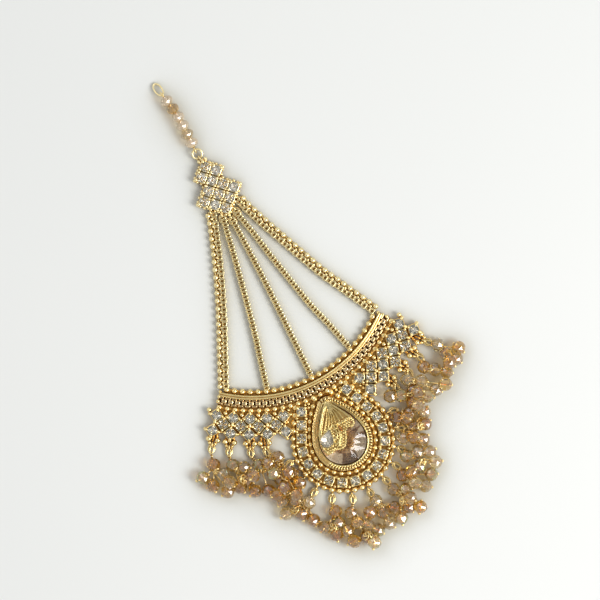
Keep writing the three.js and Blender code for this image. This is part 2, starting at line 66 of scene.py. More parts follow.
# outline of the setting: angle from its point, reach from the centre
PEAR = [(0, 16.4), (4, 16.25), (8, 15.6), (12, 14.7), (18, 13.65), (25, 12.72), (32, 12.0), (40, 11.3), (48, 10.75), (57, 10.35), (67, 10.1), (80, 9.9), (95, 9.8), (110, 9.8), (125, 9.8), (140, 9.8), (155, 9.8), (170, 9.8), (180, 9.8)]
STONE = {"r": 7.9, "base": 1.2, "top": 5.5, "dome": 38.0, "x": 0.3, "y": 3.0}
SMALL = {"x": -4.7, "y": 2.6, "r": 1.8, "taper": 34, "lean": -38, "base": 5.8, "top": 7.3}
CREST = {"x": 0.0, "y": 104.35, "stepX": 2.8, "stepY": 2.6, "across": [1, 2, 1, 2, 3, 2, 1]}
CREST_LUGS = [
    ("top", -0.4, 107.95, -0.3, 104.6),
    ("1", -5.3, 89.9, -4.75, 92.3),
    ("2", -2.4, 87.3, -2.3, 89.5),
    ("3", 0.1, 85.3, 0.05, 88.2),
    ("4", 2.6, 87.4, 2.5, 89.6),
    ("5", 5.4, 89.9, 4.8, 92.3),
]
CHAINS = [
    (1, 3.9, [[-6.4, 85.8], [-8.3, 80.4], [-10, 75.6], [-14, 65.4], [-18.6, 54.8], [-23.4, 44.6], [-27.5, 35.9]]),
    (2, 2.3, [[-2.7, 84.4], [-3.4, 80.8], [-5.3, 70.6], [-7.6, 59.3], [-10.2, 47], [-12.6, 37.5], [-14.9, 28.4]]),
    (3, 2.3, [[0.2, 82.4], [0.4, 75], [0.6, 60], [0.5, 42], [0.3, 25.3]]),
    (4, 2.3, [[2.8, 84.5], [4.5, 77], [5.7, 70.5], [9.2, 54], [11.3, 45], [13.5, 38], [15.9, 28.9]]),
    (5, 3.9, [[6.6, 85.8], [9.3, 78.6], [12.9, 70], [16.4, 61.7], [19.8, 54], [23.6, 46.8], [29.0, 36.6]]),
]
STRAND = {"x": -0.5, "y": 113.8, "pitch": 3.3, "lean": [0, 0.1, 0.1, 0.2, 0.6, 1.2], "z": 2.31, "loop": 1.05}
EYE = {"near": (-2.15, 132.75, 2.1), "far": (-3.0, 137.4, 0.6), "half": 1.25}
JUMP = {"near": (-0.4, 107.95, 1.2), "far": (-0.55, 111.2, 2.1), "half": 1.65}
LEAF_EDGE = [
    [0.85, 15.2], [1.8, 13.9], [3.0, 12.2], [4.5, 9.7], [5.9, 7.2], [6.7, 5.1], [6.3, 3.7], [5.2, 3.0], [4.3, 3.5], [3.5, 3.4],
    [2.6, 2.6], [2.1, 1.0], [1.3, -0.5], [0.2, -1.8], [-1.4, -2.3], [-3.2, -1.6], [-5.2, -2.0], [-6.7, -1.6], [-7.3, 0.6], [-7.1, 3.4],
    [-6.1, 6.4], [-4.0, 9.4], [-2.0, 12.0], [-0.4, 13.9],
]
# name, seat in degrees, neck, knot, beads: reach from the knot, direction, height, aim of the pin if not outward
DROPS = [
    ("drop_left_1", -38.6, [-42.8, 12.5, 2.15], [-43.2, 10.1, 2.15], [[4.9, 179, 2.15, 180], [4.9, -128, 2.15, -92], [2.6, -50, 2.15], [7.9, -86, 2.15, -169], [5.9, -63, 4.3]]),
    ("drop_left_2", -33.4, [-37.1, 9.4, 2.15], [-36.5, 7.1, 2.15], [[2.5, -3, 2.6], [5.7, -107, 2.15, -76], [4.7, -63, 2.15], [9.1, -76, 2.15, -158]]),
    ("drop_left_3", -27.1, [-29.1, 5.5, 2.15], [-28.8, 3.4, 2.15], [[3.6, -177, 6.1], [3.2, 24, 4.4], [4.0, -41, 5.3], [7.2, -100, 2.15, -92]]),
    ("drop_left_4", -22.6, [-22.15, 4.9, 2.15], [-22.5, 2.6, 2.15], [[3.9, -68, 6.1], [5.2, -115, 2.15], [12.4, -113, 2.15, -152], [11.8, -88, 6.1]]),
    ("drop_ring_1", 175, [-20.2, -2.2, 2.15], [-19.8, -4.9, 2.15], [[1.3, -75, 4.2]]),
    ("drop_ring_2", -163, [-23.3, -6.6, 2.15], [-24.9, -7.2, 2.15], [[2.2, 80, 5.7], [3.5, 164, 5.5], [4.0, -67, 2.15]]),
    ("drop_ring_3", -146, [-19.6, -13.5, 2.15], [-21.7, -14.8, 2.15], [[6.6, 168, 2.3, -167], [2.0, -146, 2.15, -107], [4.8, -80, 2.15]]),
    ("drop_ring_4", -128, [-12.9, -20.2, 2.15], [-13.4, -22.6, 2.15], [[5.2, -171, 2.15], [1.6, -98, 2.2], [5.6, -118, 2.15, -107], [5.6, -75, 2.15], [9.6, -80, 3.2, -177]]),
    ("drop_ring_5", -107, [-8.3, -23.1, 2.15], [-7.6, -25.5, 2.15], [[1.4, -99, 3.8], [4.6, -57, 2.15], [7.2, -89, 2.15], [10.1, -79, 4.4, -127], [8.6, -55, 2.15]]),
    ("drop_ring_6", -89, [1.0, -23.2, 2.15], [1.6, -25.6, 2.15], [[4.1, -178, 3.2], [2.15, -91, 2.15], [6.4, -88, 2.3, -66], [4.7, -32, 2.2], [8.1, -56, 2.15, -105]]),
    ("drop_ring_7", -69, [8.2, -22.4, 2.15], [9.5, -24.5, 2.15], [[2.3, 4, 2.15], [3.8, -51, 4.7], [5.6, -83, 2.15], [8.3, -60, 3.2, -125]]),
    ("drop_ring_8", -51, [13.2, -19.4, 2.15], [15.3, -20.6, 2.15], [[1.5, 42, 4.6], [3.0, -81, 4.0], [4.4, 16, 2.15], [6.3, -61, 2.15, -38], [7.3, -23, 2.15]]),
    ("drop_ring_9", -34, [17.2, -14.2, 2.2], [19.4, -15.2, 2.2], [[1.9, 15, 2.15], [5.6, -13, 2.15, 0], [7.7, -42, 3.3, -18]]),
    ("drop_ring_10", -12, [19.1, -8.4, 2.15], [21.5, -8.1, 2.15], [[1.5, -62, 4.4], [4.8, -48, 2.15, 13], [6.3, 8, 2.4], [3.1, 41, 2.7], [9.0, 31, 2.15]]),
    ("drop_ring_11", 6, [20.5, -1.3, 2.15], [22.9, -1.1, 2.15], [[1.5, -87, 5.6], [1.8, -17, 2.15], [4.9, 29, 2.15], [5.6, 7, 5.5]]),
    ("drop_right_4", 21.9, [21.3, 6.5, 2.15], [23.4, 5.6, 2.15], [[1.5, -23, 3.4], [7.2, -16, 6.2], [10.4, -27, 4.6, -40]]),
    ("drop_right_3", 27.7, [28.9, 9.0, 3.0], [30.7, 7.3, 3.0], [[2.5, -22, 3.2], [2.6, -120, 2.15], [8.0, -46, 2.15], [10.8, -31, 3.9]]),
    ("drop_right_2", 33.0, [36.0, 10.2, 2.9], [37.9, 8.7, 2.9], [[1.5, -41, 2.15], [5.5, -38, 2.15]]),
    ("drop_right_1", 37.7, [43.6, 14.9, 2.15], [44.7, 12.8, 2.15], [[1.8, -87, 2.2], [4.9, -93, 5.0, -63], [5.6, -64, 2.15], [5.2, -22, 3.1, -69]]),
]

# ----------------------------------------------------------------------------------------------------------------
# Materials, all procedural. Texture coordinates are the row frame's own metres.
# ----------------------------------------------------------------------------------------------------------------


class Nodes:
    def __init__(self, name):
        self.mat = bpy.data.materials.new(name)
        self.mat.use_nodes = True
        self.tree = self.mat.node_tree
        self.tree.nodes.clear()
        self.out = self.tree.nodes.new("ShaderNodeOutputMaterial")
        self.coord = self.tree.nodes.new("ShaderNodeTexCoord").outputs["Object"]

    def new(self, kind, **inputs):
        n = self.tree.nodes.new(kind)
        for k, v in inputs.items():
            self.set(n, k.replace("_", " "), v)
        return n

    def set(self, n, key, v):
        socket = n.inputs[key]
        if isinstance(v, bpy.types.NodeSocket):
            self.tree.links.new(v, socket)
        else:
            socket.default_value = v

    def noise(self, scale, detail=2.0, rough=0.5, distortion=0.0):
        n = self.new("ShaderNodeTexNoise", Vector=self.coord)
        n.inputs["Scale"].default_value = scale
        n.inputs["Detail"].default_value = detail
        n.inputs["Roughness"].default_value = rough
        n.inputs["Distortion"].default_value = distortion
        return n.outputs["Fac"]

    def ramp(self, fac, stops):
        n = self.tree.nodes.new("ShaderNodeValToRGB")
        self.tree.links.new(fac, n.inputs["Fac"])
        e = n.color_ramp.elements
        while len(e) < len(stops):
            e.new(0.5)
        for one, (at, colour) in zip(e, stops):
            one.position = at
            one.color = (*colour, 1.0) if len(colour) == 3 else colour
        return n.outputs["Color"]

    def spread(self, fac, low, high, a=0.3, b=0.7):
        n = self.tree.nodes.new("ShaderNodeMapRange")
        self.tree.links.new(fac, n.inputs["Value"])
        n.inputs["From Min"].default_value, n.inputs["From Max"].default_value = a, b
        n.inputs["To Min"].default_value, n.inputs["To Max"].default_value = low, high
        return n.outputs["Result"]

    def mix(self, kind, fac, a, b):
        n = self.tree.nodes.new("ShaderNodeMix")
        n.data_type = "RGBA"
        n.blend_type = kind
        for key, v in ((0, fac), (6, a), (7, b)):
            if isinstance(v, bpy.types.NodeSocket):
                self.tree.links.new(v, n.inputs[key])
            else:
                n.inputs[key].default_value = v if key == 0 else (*v, 1.0)
        return n.outputs[2]

    def hollow(self, distance, samples=6):
        n = self.tree.nodes.new("ShaderNodeAmbientOcclusion")
        n.samples = samples
        n.inputs["Distance"].default_value = distance
        return n.outputs["AO"]

    def bump(self, height, strength, distance):
        n = self.new("ShaderNodeBump", Height=height)
        n.inputs["Strength"].default_value = strength
        n.inputs["Distance"].default_value = distance
        return n.outputs["Normal"]

    def shade(self, **inputs):
        n = self.new("ShaderNodeBsdfPrincipled", **inputs)
        self.tree.links.new(n.outputs[0], self.out.inputs["Surface"])
        self.principled = n
        return n

    def clear_shadow(self, colour):
        """A shadow through coloured glass is pale and coloured, not black."""
        path = self.tree.nodes.new("ShaderNodeLightPath")
        clear = self.new("ShaderNodeBsdfTransparent", Color=(*colour, 1.0))
        mix = self.tree.nodes.new("ShaderNodeMixShader")
        self.tree.links.new(path.outputs["Is Shadow Ray"], mix.inputs[0])
        self.tree.links.new(self.principled.outputs[0], mix.inputs[1])
        self.tree.links.new(clear.outputs[0], mix.inputs[2])
        self.tree.links.new(mix.outputs[0], self.out.inputs["Surface"])


def gold(name, pale, warm, dark, rough=(0.16, 0.3), reach=0.0009, grain=0.12, tarnish_and_shade_span=(0.22, 0.9)):
    """Plated metal whose colour follows ambient occlusion: pale where the surface is open, warmer below and brown in
    the hollows, partly tarnish and partly painted shade.
    """
    n = Nodes(name)
    low, high = tarnish_and_shade_span
    # painted shade: ambient occlusion darkens and browns the metal in the hollows, partly standing for tarnish
    tarnish_and_shade = n.ramp(n.hollow(reach), [(low, dark), (low + 0.55 * (high - low), warm), (high, pale)])
    cloud = n.ramp(n.noise(420, 3.0), [(0.35, (0.90, 0.87, 0.82)), (0.62, (1.0, 1.0, 1.0))])
    n.shade(
        Base_Color=n.mix("MULTIPLY", 1.0, tarnish_and_shade, cloud),
        Metallic=1.0,
        Roughness=n.spread(n.noise(1500, 4.0, 0.65), *rough),
        Normal=n.bump(n.noise(5200, 3.0, 0.6), grain, 0.00003),
    )
    return n.mat


GOLD = gold("gold_polished", (0.97, 0.80, 0.40), (0.90, 0.63, 0.21), (0.44, 0.165, 0.012), rough=(0.22, 0.34), reach=0.0008)
LIGHT = gold("gold_pale", (0.98, 0.85, 0.49), (0.93, 0.70, 0.30), (0.50, 0.25, 0.045), rough=(0.23, 0.35), reach=0.0007, tarnish_and_shade_span=(0.2, 0.85))
# DEEP and LIGHT_DEEP are darker, browner copies of the gold for backings, links and strips that lie low or between
# parts: painted shade
DEEP = gold("gold_backing_painted_shade", (0.76, 0.47, 0.15), (0.62, 0.33, 0.075), (0.15, 0.04, 0.004), rough=(0.28, 0.45), reach=0.0011, grain=0.5)
LIGHT_DEEP = gold("gold_pale_backing_painted_shade", (0.88, 0.64, 0.27), (0.76, 0.49, 0.165), (0.32, 0.14, 0.025), rough=(0.28, 0.42), reach=0.0008, grain=0.4)
BAND = gold("gold_milled", (0.98, 0.84, 0.45), (0.91, 0.68, 0.25), (0.30, 0.12, 0.012), rough=(0.19, 0.28), reach=0.0004, grain=0.04, tarnish_and_shade_span=(0.3, 0.9))
LEAFY = gold("gold_engraved", (0.82, 0.67, 0.31), (0.60, 0.43, 0.15), (0.20, 0.09, 0.01), rough=(0.22, 0.34), reach=0.00045, tarnish_and_shade_span=(0.3, 0.95))
# LEAF_MID and LEAF_DEEP are darker copies for the low ground of the leaf and the cuts of the bezel: painted shade
LEAF_MID = gold("gold_engraved_ground_painted_shade", (0.56, 0.37, 0.13), (0.42, 0.26, 0.075), (0.14, 0.06, 0.008), rough=(0.3, 0.45), reach=0.0005, grain=0.3)
LEAF_DEEP = gold("gold_engraved_deep_painted_shade", (0.34, 0.18, 0.05), (0.24, 0.12, 0.03), (0.08, 0.035, 0.006), rough=(0.4, 0.55), reach=0.0005, grain=0.3)
COPPERY = gold("gold_links", (0.90, 0.69, 0.37), (0.80, 0.53, 0.215), (0.30, 0.11, 0.012), rough=(0.22, 0.34), reach=0.0008)
# DARK and BROWN are darker copies again, for slots, cup floors and the ground between balls: painted shade
DARK = gold("gold_recess_painted_shade", (0.24, 0.115, 0.035), (0.15, 0.065, 0.018), (0.05, 0.02, 0.005), rough=(0.4, 0.6), grain=0.3)
BROWN = gold("gold_shaded", (0.50, 0.265, 0.075), (0.38, 0.185, 0.042), (0.13, 0.04, 0.005), rough=(0.3, 0.5), grain=0.4)


def foil(name, pale, deep, rough=0.08):
    n = Nodes(name)
    n.shade(
        Base_Color=n.ramp(n.noise(900, 3.0), [(0.4, deep), (0.6, pale)]),
        Metallic=1.0,
        Roughness=n.spread(n.noise(2500, 2.0), rough * 0.6, rough * 1.5),
    )
    return n.mat


FOIL = foil("foil_silver", (0.92, 0.91, 0.85), (0.60, 0.59, 0.53), rough=0.12)
FOIL_BRIGHT = foil("foil_bright", (1.0, 0.985, 0.93), (0.84, 0.81, 0.73), rough=0.12)
FOIL_SOFT = foil("foil_brushed", (0.76, 0.73, 0.66), (0.50, 0.46, 0.39), rough=0.28)
# FOIL_PALE, FOIL_WARM and FOIL_SMOKY go to different facets of the teardrop stone: painted reflection and painted shade
FOIL_PALE = foil("foil_champagne_painted_reflection", (0.96, 0.91, 0.80), (0.80, 0.72, 0.58), rough=0.4)
FOIL_WARM = foil("foil_amber", (0.92, 0.68, 0.40), (0.70, 0.46, 0.22), rough=0.28)
FOIL_SMOKY = foil("foil_smoky_painted_shade", (0.60, 0.43, 0.26), (0.40, 0.26, 0.14), rough=0.28)


def glass(name, pale, deep, ior, shadow, film=0.0, scale=300, rough=0.02, body=0.0, coat=0.0):
    n = Nodes(name)
    n.shade(
        Base_Color=n.ramp(n.noise(scale, 2.0), [(0.38, deep), (0.62, pale)]),
        Roughness=rough,
        IOR=ior,
        Transmission_Weight=1.0 - body,
        Specular_IOR_Level=0.5,
        Normal=n.bump(n.noise(2600, 2.0), 0.03, 0.00002),
    )
    if film:
        n.principled.inputs["Thin Film Thickness"].default_value = film
        n.principled.inputs["Thin Film IOR"].default_value = 1.9
    if coat:
        n.principled.inputs["Coat Weight"].default_value = coat
        n.principled.inputs["Coat IOR"].default_value = 2.0
        n.principled.inputs["Coat Roughness"].default_value = 0.02
    n.clear_shadow(shadow)
    return n.mat


CRYSTAL = glass("crystal_clear", (1.0, 0.985, 0.95), (0.95, 0.92, 0.865), 1.6, (0.9, 0.88, 0.84))
CRYSTAL_SOFT = glass("crystal_frosted", (0.97, 0.96, 0.92), (0.88, 0.86, 0.80), 1.5, (0.9, 0.88, 0.84), rough=0.1)
BEADS = [
    glass("crystal_amber", (0.90, 0.585, 0.11), (0.74, 0.41, 0.055), 1.56, (0.34, 0.22, 0.09), body=0.06, coat=0.85),
    glass("crystal_champagne", (0.93, 0.705, 0.27), (0.81, 0.555, 0.17), 1.56, (0.36, 0.25, 0.13), body=0.06, coat=0.85),
    glass("crystal_rose", (0.91, 0.67, 0.335), (0.79, 0.525, 0.23), 1.56, (0.36, 0.26, 0.16), film=384.0, body=0.06, coat=0.85),
    glass("crystal_pale", (0.98, 0.84, 0.50), (0.90, 0.71, 0.375), 1.56, (0.42, 0.33, 0.21), body=0.08, coat=0.85),
    glass("crystal_peach", (1.0, 0.91, 0.74), (0.95, 0.82, 0.62), 1.56, (0.62, 0.52, 0.40), body=0.16, coat=0.85),
]
STONE_GLASS = glass("stone_champagne", (0.99, 0.955, 0.90), (0.97, 0.92, 0.84), 1.58, (0.9, 0.8, 0.7), rough=0.04)

# ----------------------------------------------------------------------------------------------------------------
# Shapes
# ----------------------------------------------------------------------------------------------------------------


def p3(x, y, z=0.0):
    return np.array([x, y, z], float)


def unit(v):
    v = np.asarray(v, float)
    return v / (np.linalg.norm(v) or 1.0)


def axes(axis):
    w = unit(axis)
    u = unit(np.cross(p3(0, 0, 1) if abs(w[2]) < 0.9 else p3(1, 0, 0), w))
    return u, np.cross(w, u), w


def on_arc(r, deg, z=0.0):
    a = math.radians(deg)
    return p3(ARC[0] + r * math.sin(a), ARC[1] - r * math.cos(a), z)


def toward(deg):
    return p3(math.cos(math.radians(deg)), math.sin(math.radians(deg)))


GLINT = unit([0.21, -0.33, 0.92])


class Form:
    """The vertices and faces of one piece, in the drawing frame's millimetres. Each face has a material number and a smooth flag."""

    def __init__(self):
        self.v, self.f, self.m, self.s, self.n = [], [], [], [], 0

    def put(self, verts, faces, mat=0, smooth=True):
        base = self.n
        self.v.append(np.asarray(verts, float).reshape(-1, 3))
        self.n += len(verts)
        self.f.extend([[i + base for i in f] for f in faces])
        self.m.extend([mat] * len(faces))
        self.s.extend([smooth] * len(faces))

    def loft(self, rings, mat=0, smooth=True, close=False, caps=True):
        k, n = len(rings[0]), len(rings)
        faces = []
        for i in range(n if close else n - 1):
            a, b = i * k, ((i + 1) % n) * k
            faces += [(a + j, a + (j + 1) % k, b + (j + 1) % k, b + j) for j in range(k)]
        self.put(np.concatenate(rings), faces, mat, smooth)
        if caps and not close:
            base = self.n - n * k
            for ring in (range(k - 1, -1, -1), range((n - 1) * k, n * k)):
                self.f.append([base + j for j in ring])
                self.m.append(mat)
                self.s.append(False)

    def ball(self, c, r, mat=0, seg=16, rows=9, flat=1.0):
        c = np.asarray(c, float)
        verts, faces = [(0, 0, flat)], []
        for i in range(1, rows):
            t = math.pi * i / rows
            for j in range(seg):
                a = 2 * math.pi * (j + 0.5 * (i % 2)) / seg
                verts.append((math.sin(t) * math.cos(a), math.sin(t) * math.sin(a), math.cos(t) * flat))
        verts.append((0, 0, -flat))
        last = len(verts) - 1
        for j in range(seg):
            faces.append((0, 1 + j, 1 + (j + 1) % seg))
            faces.append((last, last - seg + (j + 1) % seg, last - seg + j))
        for i in range(rows - 2):
            a, b = 1 + i * seg, 1 + (i + 1) * seg
            for j in range(seg):
                k = (j + 1) % seg
                if i % 2:
                    faces += [(a + j, b + j, a + k), (a + k, b + j, b + k)]
                else:
                    faces += [(a + j, b + j, b + k), (a + j, b + k, a + k)]
        self.put(np.array(verts) * r + c, faces, mat, True)

    def tube(self, pts, r, mat=0, sides=8, closed=False, smooth=True):
        pts = np.asarray(pts, float)
        n = len(pts)
        radii = np.broadcast_to(np.asarray(r, float), (n,))
        if closed:
            tang = np.roll(pts, -1, 0) - np.roll(pts, 1, 0)
        else:
            tang = np.gradient(pts, axis=0)
        tang = tang / np.linalg.norm(tang, axis=1)[:, None]
        u, v, _ = axes(tang[0])
        rings = []
        for i in range(n):
            u = unit(u - tang[i] * np.dot(u, tang[i]))
            v = np.cross(tang[i], u)
            a = np.arange(sides) * 2 * math.pi / sides
            rings.append(pts[i] + radii[i] * (np.cos(a)[:, None] * u + np.sin(a)[:, None] * v))
        self.loft(rings, mat, smooth, close=closed)

    def oval(self, near, far, half, r, mat=0, segments=30, sides=8, up=(0, 0, 1)):
        near, far = np.asarray(near, float), np.asarray(far, float)
        along = (far - near) / 2
        across = unit(np.cross(up, along)) * half
        t = np.arange(segments) * 2 * math.pi / segments
        mid = (near + far) / 2
        self.tube(mid + np.cos(t)[:, None] * along + np.sin(t)[:, None] * across, r, mat, sides, closed=True)

    def ring_on_edge(self, centre, outward, r, wire, mat=0, segments=22, sides=8):
        along = unit([outward[0], outward[1], 0]) * r
        t = np.arange(segments) * 2 * math.pi / segments
        self.tube(np.asarray(centre) + np.cos(t)[:, None] * along + np.sin(t)[:, None] * p3(0, 0, r), wire, mat, sides, closed=True)

    def coil(self, a, b, r, wire, turns, mat=0, sides=6):
        a, b = np.asarray(a, float), np.asarray(b, float)
        u, v, w = axes(b - a)
        n = int(turns * 12) + 1
        t = np.linspace(0, 1, n)
        ang = t * turns * 2 * math.pi
        self.tube(a + np.outer(t, b - a) + r * (np.cos(ang)[:, None] * u + np.sin(ang)[:, None] * v), wire, mat, sides)

    @staticmethod
    def _octagon(hx, hy, cut):
        return [(hx, -hy + cut), (hx, hy - cut), (hx - cut, hy), (-hx + cut, hy), (-hx, hy - cut), (-hx, -hy + cut), (-hx + cut, -hy), (hx - cut, -hy)]

    @staticmethod
    def _place(points, x, y, deg, z):
        c, s = math.cos(math.radians(deg)), math.sin(math.radians(deg))
        return np.array([(x + a * c - b * s, y + a * s + b * c, z) for a, b in points])

    def block(self, x, y, deg, length, width, z0, z1, bevel=0.12, mat=0, cut=None):
        """A box with worked edges. length runs along deg."""
        hx, hy, cut = length / 2, width / 2, bevel if cut is None else cut
        rings = [
            self._place(self._octagon(hx - i, hy - i, cut), x, y, deg, z)
            for i, z in ((bevel, z0), (0, z0 + bevel), (0, z1 - bevel), (bevel * 0.35, z1 - bevel * 0.35), (bevel, z1))
        ]
        self.loft(rings, mat, False)

    def window(self, x, y, deg, length, width, hole_l, hole_w, z0, z1, bevel=0.1, mat=0, cut=0.2):
        """A square link: a worked box with a hole through it."""
        hx, hy, ix, iy = length / 2, width / 2, hole_l / 2, hole_w / 2
        rows = [
            (hx, hy, z0 + bevel), (hx, hy, z1 - bevel), (hx - bevel * 0.4, hy - bevel * 0.4, z1 - bevel * 0.3), (hx - bevel, hy - bevel, z1),
            (ix + bevel, iy + bevel, z1), (ix, iy, z1 - bevel), (ix, iy, z0 + bevel), (ix + bevel, iy + bevel, z0), (hx - bevel, hy - bevel, z0),
        ]
        rings = [self._place(self._octagon(a, b, min(cut, a * 0.5, b * 0.5)), x, y, deg, z) for a, b, z in rows]
        self.loft(rings, mat, False, close=True)

    def ribbon(self, pts, profile, mat=0, smooth=False, closed=False):
        """A profile of (across, height) pairs swept along a flat line of points."""
        pts = np.asarray(pts, float)[:, :2]
        t = np.roll(pts, -1, 0) - np.roll(pts, 1, 0) if closed else np.gradient(pts, axis=0)
        t = t / np.linalg.norm(t, axis=1)[:, None]
        left = np.stack([-t[:, 1], t[:, 0]], 1)
        rings = [np.array([(*(p + left[i] * w), z) for w, z in (profile(i) if callable(profile) else profile)]) for i, p in enumerate(pts)]
        self.loft(rings, mat, smooth, close=closed)

    def slab(self, outline, z0, z1, bevel=0.15, mat=0):
        """A flat plate from an outline, with a worked edge."""
        o = np.asarray(outline, float)
        area = np.sum(o[:, 0] * np.roll(o[:, 1], -1) - o[:, 1] * np.roll(o[:, 0], -1))
        t = np.roll(o, -1, 0) - np.roll(o, 1, 0)
        t = t / np.linalg.norm(t, axis=1)[:, None]
        inward = np.stack([-t[:, 1], t[:, 0]], 1) * (1 if area > 0 else -1)
        rings = [np.column_stack([o + inward * i, np.full(len(o), z)]) for i, z in ((bevel, z0), (0, z0 + bevel), (0, z1 - bevel), (bevel, z1))]
        self.loft(rings, mat, False)

    def gem(self, spoke, z, crown, deep, glass, back, n=8, table=0.56, mid=0.8, rise=0.62, phase=0.0):
        """A brilliant on any outline. spoke(angle, share) gives the point at that share of the way to the girdle."""
        A = lambda k, of: phase + 2 * math.pi * k / of
        top = [(*spoke(A(k, n), table), z + crown) for k in range(n)]
        belt = [(*spoke(A(k + 0.5, n), mid), z + crown * rise) for k in range(n)]
        edge = [(*spoke(A(k, 2 * n), 1.0), z) for k in range(2 * n)]
        low = [(*spoke(A(k + 0.5, n), 0.52), z - deep * 0.55) for k in range(n)]
        tip = [(*spoke(0.0, 0.0), z - deep)]
        verts = top + belt + edge + low + tip
        T, B, E, L, P = 0, n, 2 * n, 4 * n, 5 * n
        up, down = [tuple(T + k for k in range(n))], []
        for k in range(n):
            j, e = (k + 1) % n, 2 * k
            up.append((T + k, B + k, T + j))
            up.append((T + k, B + (k - 1) % n, E + e, B + k))
            up.append((B + k, E + e, E + (e + 1) % (2 * n)))
            up.append((B + k, E + (e + 1) % (2 * n), E + (e + 2) % (2 * n)))
            down.append((L + k, E + (e + 1) % (2 * n), E + e))
            down.append((L + k, E + (e + 2) % (2 * n), E + (e + 1) % (2 * n)))
            down.append((L + k, E + e, L + (k - 1) % n))
            down.append((L + k, P, L + j))
        base = self.n
        self.put(verts, up, glass, False)
        self.f.extend([[i + base for i in f] for f in down])
        spots = np.array([np.mean([verts[i][:2] for i in f], axis=0) for f in down])
        self.m.extend([back(x, y) for x, y in spots] if callable(back) else [back] * len(down))
        self.s.extend([False] * len(down))

    def cushion_gem(self, x, y, z, half, deg, turn=0.0, glass=1, back=2, crown=0.4, deep=0.72):
        """A brilliant with a squarish girdle whose sides face deg."""
        face = math.radians(deg)

        def spoke(a, share):
            rho = half / (abs(math.cos(a - face)) ** 4.5 + abs(math.sin(a - face)) ** 4.5) ** (1 / 4.5)
            return (x + rho * share * math.cos(a), y + rho * share * math.sin(a))

        self.gem(spoke, z, crown * half, deep * half, glass, back, phase=math.radians(turn))

    def rondelle(self, centre, axis, glass=1, n=9, r=None, half=None, turn=0.0):
        """A faceted rondelle with a hole along its axis. It lies with a facet towards GLINT."""
        r, half = r or RONDELLE["r"], half or RONDELLE["half"]
        u, v, w = axes(axis)
        turn = math.atan2(np.dot(GLINT, v), np.dot(GLINT, u)) * n / (2 * math.pi) - 0.5 + 0.1 * math.sin(7.3 * turn)
        rows = [(0.28, -half, 0), (1.0, -half, 0), (r * 0.82, -half * 0.66, 0.5), (r, -half * 0.16, 0), (r, half * 0.16, 0), (r * 0.82, half * 0.66, 0.5), (1.0, half, 0), (0.28, half, 0)]
        verts = []
        for rad, h, ph in rows:
            for k in range(n):
                a = 2 * math.pi * (k + ph + turn) / n
                verts.append(centre + w * h + rad * (math.cos(a) * u + math.sin(a) * v))
        faces = []
        for i in range(len(rows)):
            j = (i + 1) % len(rows)
            a, b, pa, pb = i * n, j * n, rows[i][2], rows[j][2]
            for k in range(n):
                l = (k + 1) % n
                if pa == pb:
                    faces.append((a + k, a + l, b + l, b + k))
                elif pb > pa:
                    faces += [(a + k, a + l, b + k), (b + k, a + l, b + l)]
                else:
                    faces += [(a + k, b + l, b + k), (a + k, a + l, b + l)]
        self.put(verts, faces, glass, False)

    def make(self, name, materials, nodes, clean=True):
        me = bpy.data.meshes.new(name)
        co = (np.concatenate(self.v) + SHIFT) * 0.001
        me.from_pydata(co.tolist(), [], self.f)
        me.polygons.foreach_set("material_index", self.m)
        me.polygons.foreach_set("use_smooth", self.s)
        for m in materials:
            me.materials.append(m)
        if clean:
            bm = bmesh.new()
            bm.from_mesh(me)
            bmesh.ops.recalc_face_normals(bm, faces=bm.faces)
            bm.to_mesh(me)
            bm.free()
        ob = bpy.data.objects.new(name, me)
        bpy.context.scene.collection.objects.link(ob)
        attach(ob, "root")
        if nodes:
            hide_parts(*nodes)
        return ob


def smooth_line(points, count=None, pitch=None, ends=True):
    """Points at even spacing along a smooth line through the given points."""
    p = np.asarray(points, float)
    q = np.vstack([2 * p[0] - p[1], p, 2 * p[-1] - p[-2]])
    out = []
    for i in range(len(p) - 1):
        a, b, c, d = q[i : i + 4]
        for t in np.linspace(0, 1, 24, endpoint=False):
            out.append(0.5 * ((2 * b) + (c - a) * t + (2 * a - 5 * b + 4 * c - d) * t**2 + (3 * b - a - 3 * c + d) * t**3))
    out = np.array(out + [p[-1]])
    s = np.concatenate([[0], np.cumsum(np.linalg.norm(np.diff(out, axis=0), axis=1))])
    if count is None:
        count = max(2, int(round(s[-1] / pitch)) + 1)
    at = np.linspace(0, s[-1], count)
    return np.column_stack([np.interp(at, s, out[:, k]) for k in range(out.shape[1])])


def headings(pts):
    t = np.gradient(np.asarray(pts)[:, :2], axis=0)
    return np.degrees(np.arctan2(t[:, 1], t[:, 0]))


def arc_line(r, a, b, n):
    return np.array([on_arc(r, d) for d in np.linspace(a, b, n)])


def ring_line(row, dense=64):
    if len(row) == 2:
        spoke = pear_spoke(row[0])
        return np.array([spoke(-math.radians(a), 1.0) for a in np.linspace(row[1], 360 - row[1], 3 * dense)])
    r, shoulder, tl, tr, ty = row
    a = np.radians(np.linspace(180 - shoulder, 360 + shoulder, dense))
    body = np.column_stack([MEDALLION[0] + r * np.cos(a), MEDALLION[1] + r * np.sin(a)])
    # straight ends, with points between so that the line stays straight
    top_l, top_r = np.array([MEDALLION[0] - tl, ty]), np.array([MEDALLION[0] + tr, ty])
    left = [top_l + (body[0] - top_l) * t for t in np.linspace(0, 1, 8, endpoint=False)]
    right = [body[-1] + (top_r - body[-1]) * t for t in np.linspace(0, 1, 8)[1:]]
    return np.array(left + list(body) + right)


def resample(pts, count=None, pitch=None):
    s = np.concatenate([[0], np.cumsum(np.linalg.norm(np.diff(pts, axis=0), axis=1))])
    count = count or int(round(s[-1] / pitch)) + 1
    at = np.linspace(0, s[-1], count)
    return np.column_stack([np.interp(at, s, pts[:, k]) for k in range(pts.shape[1])])


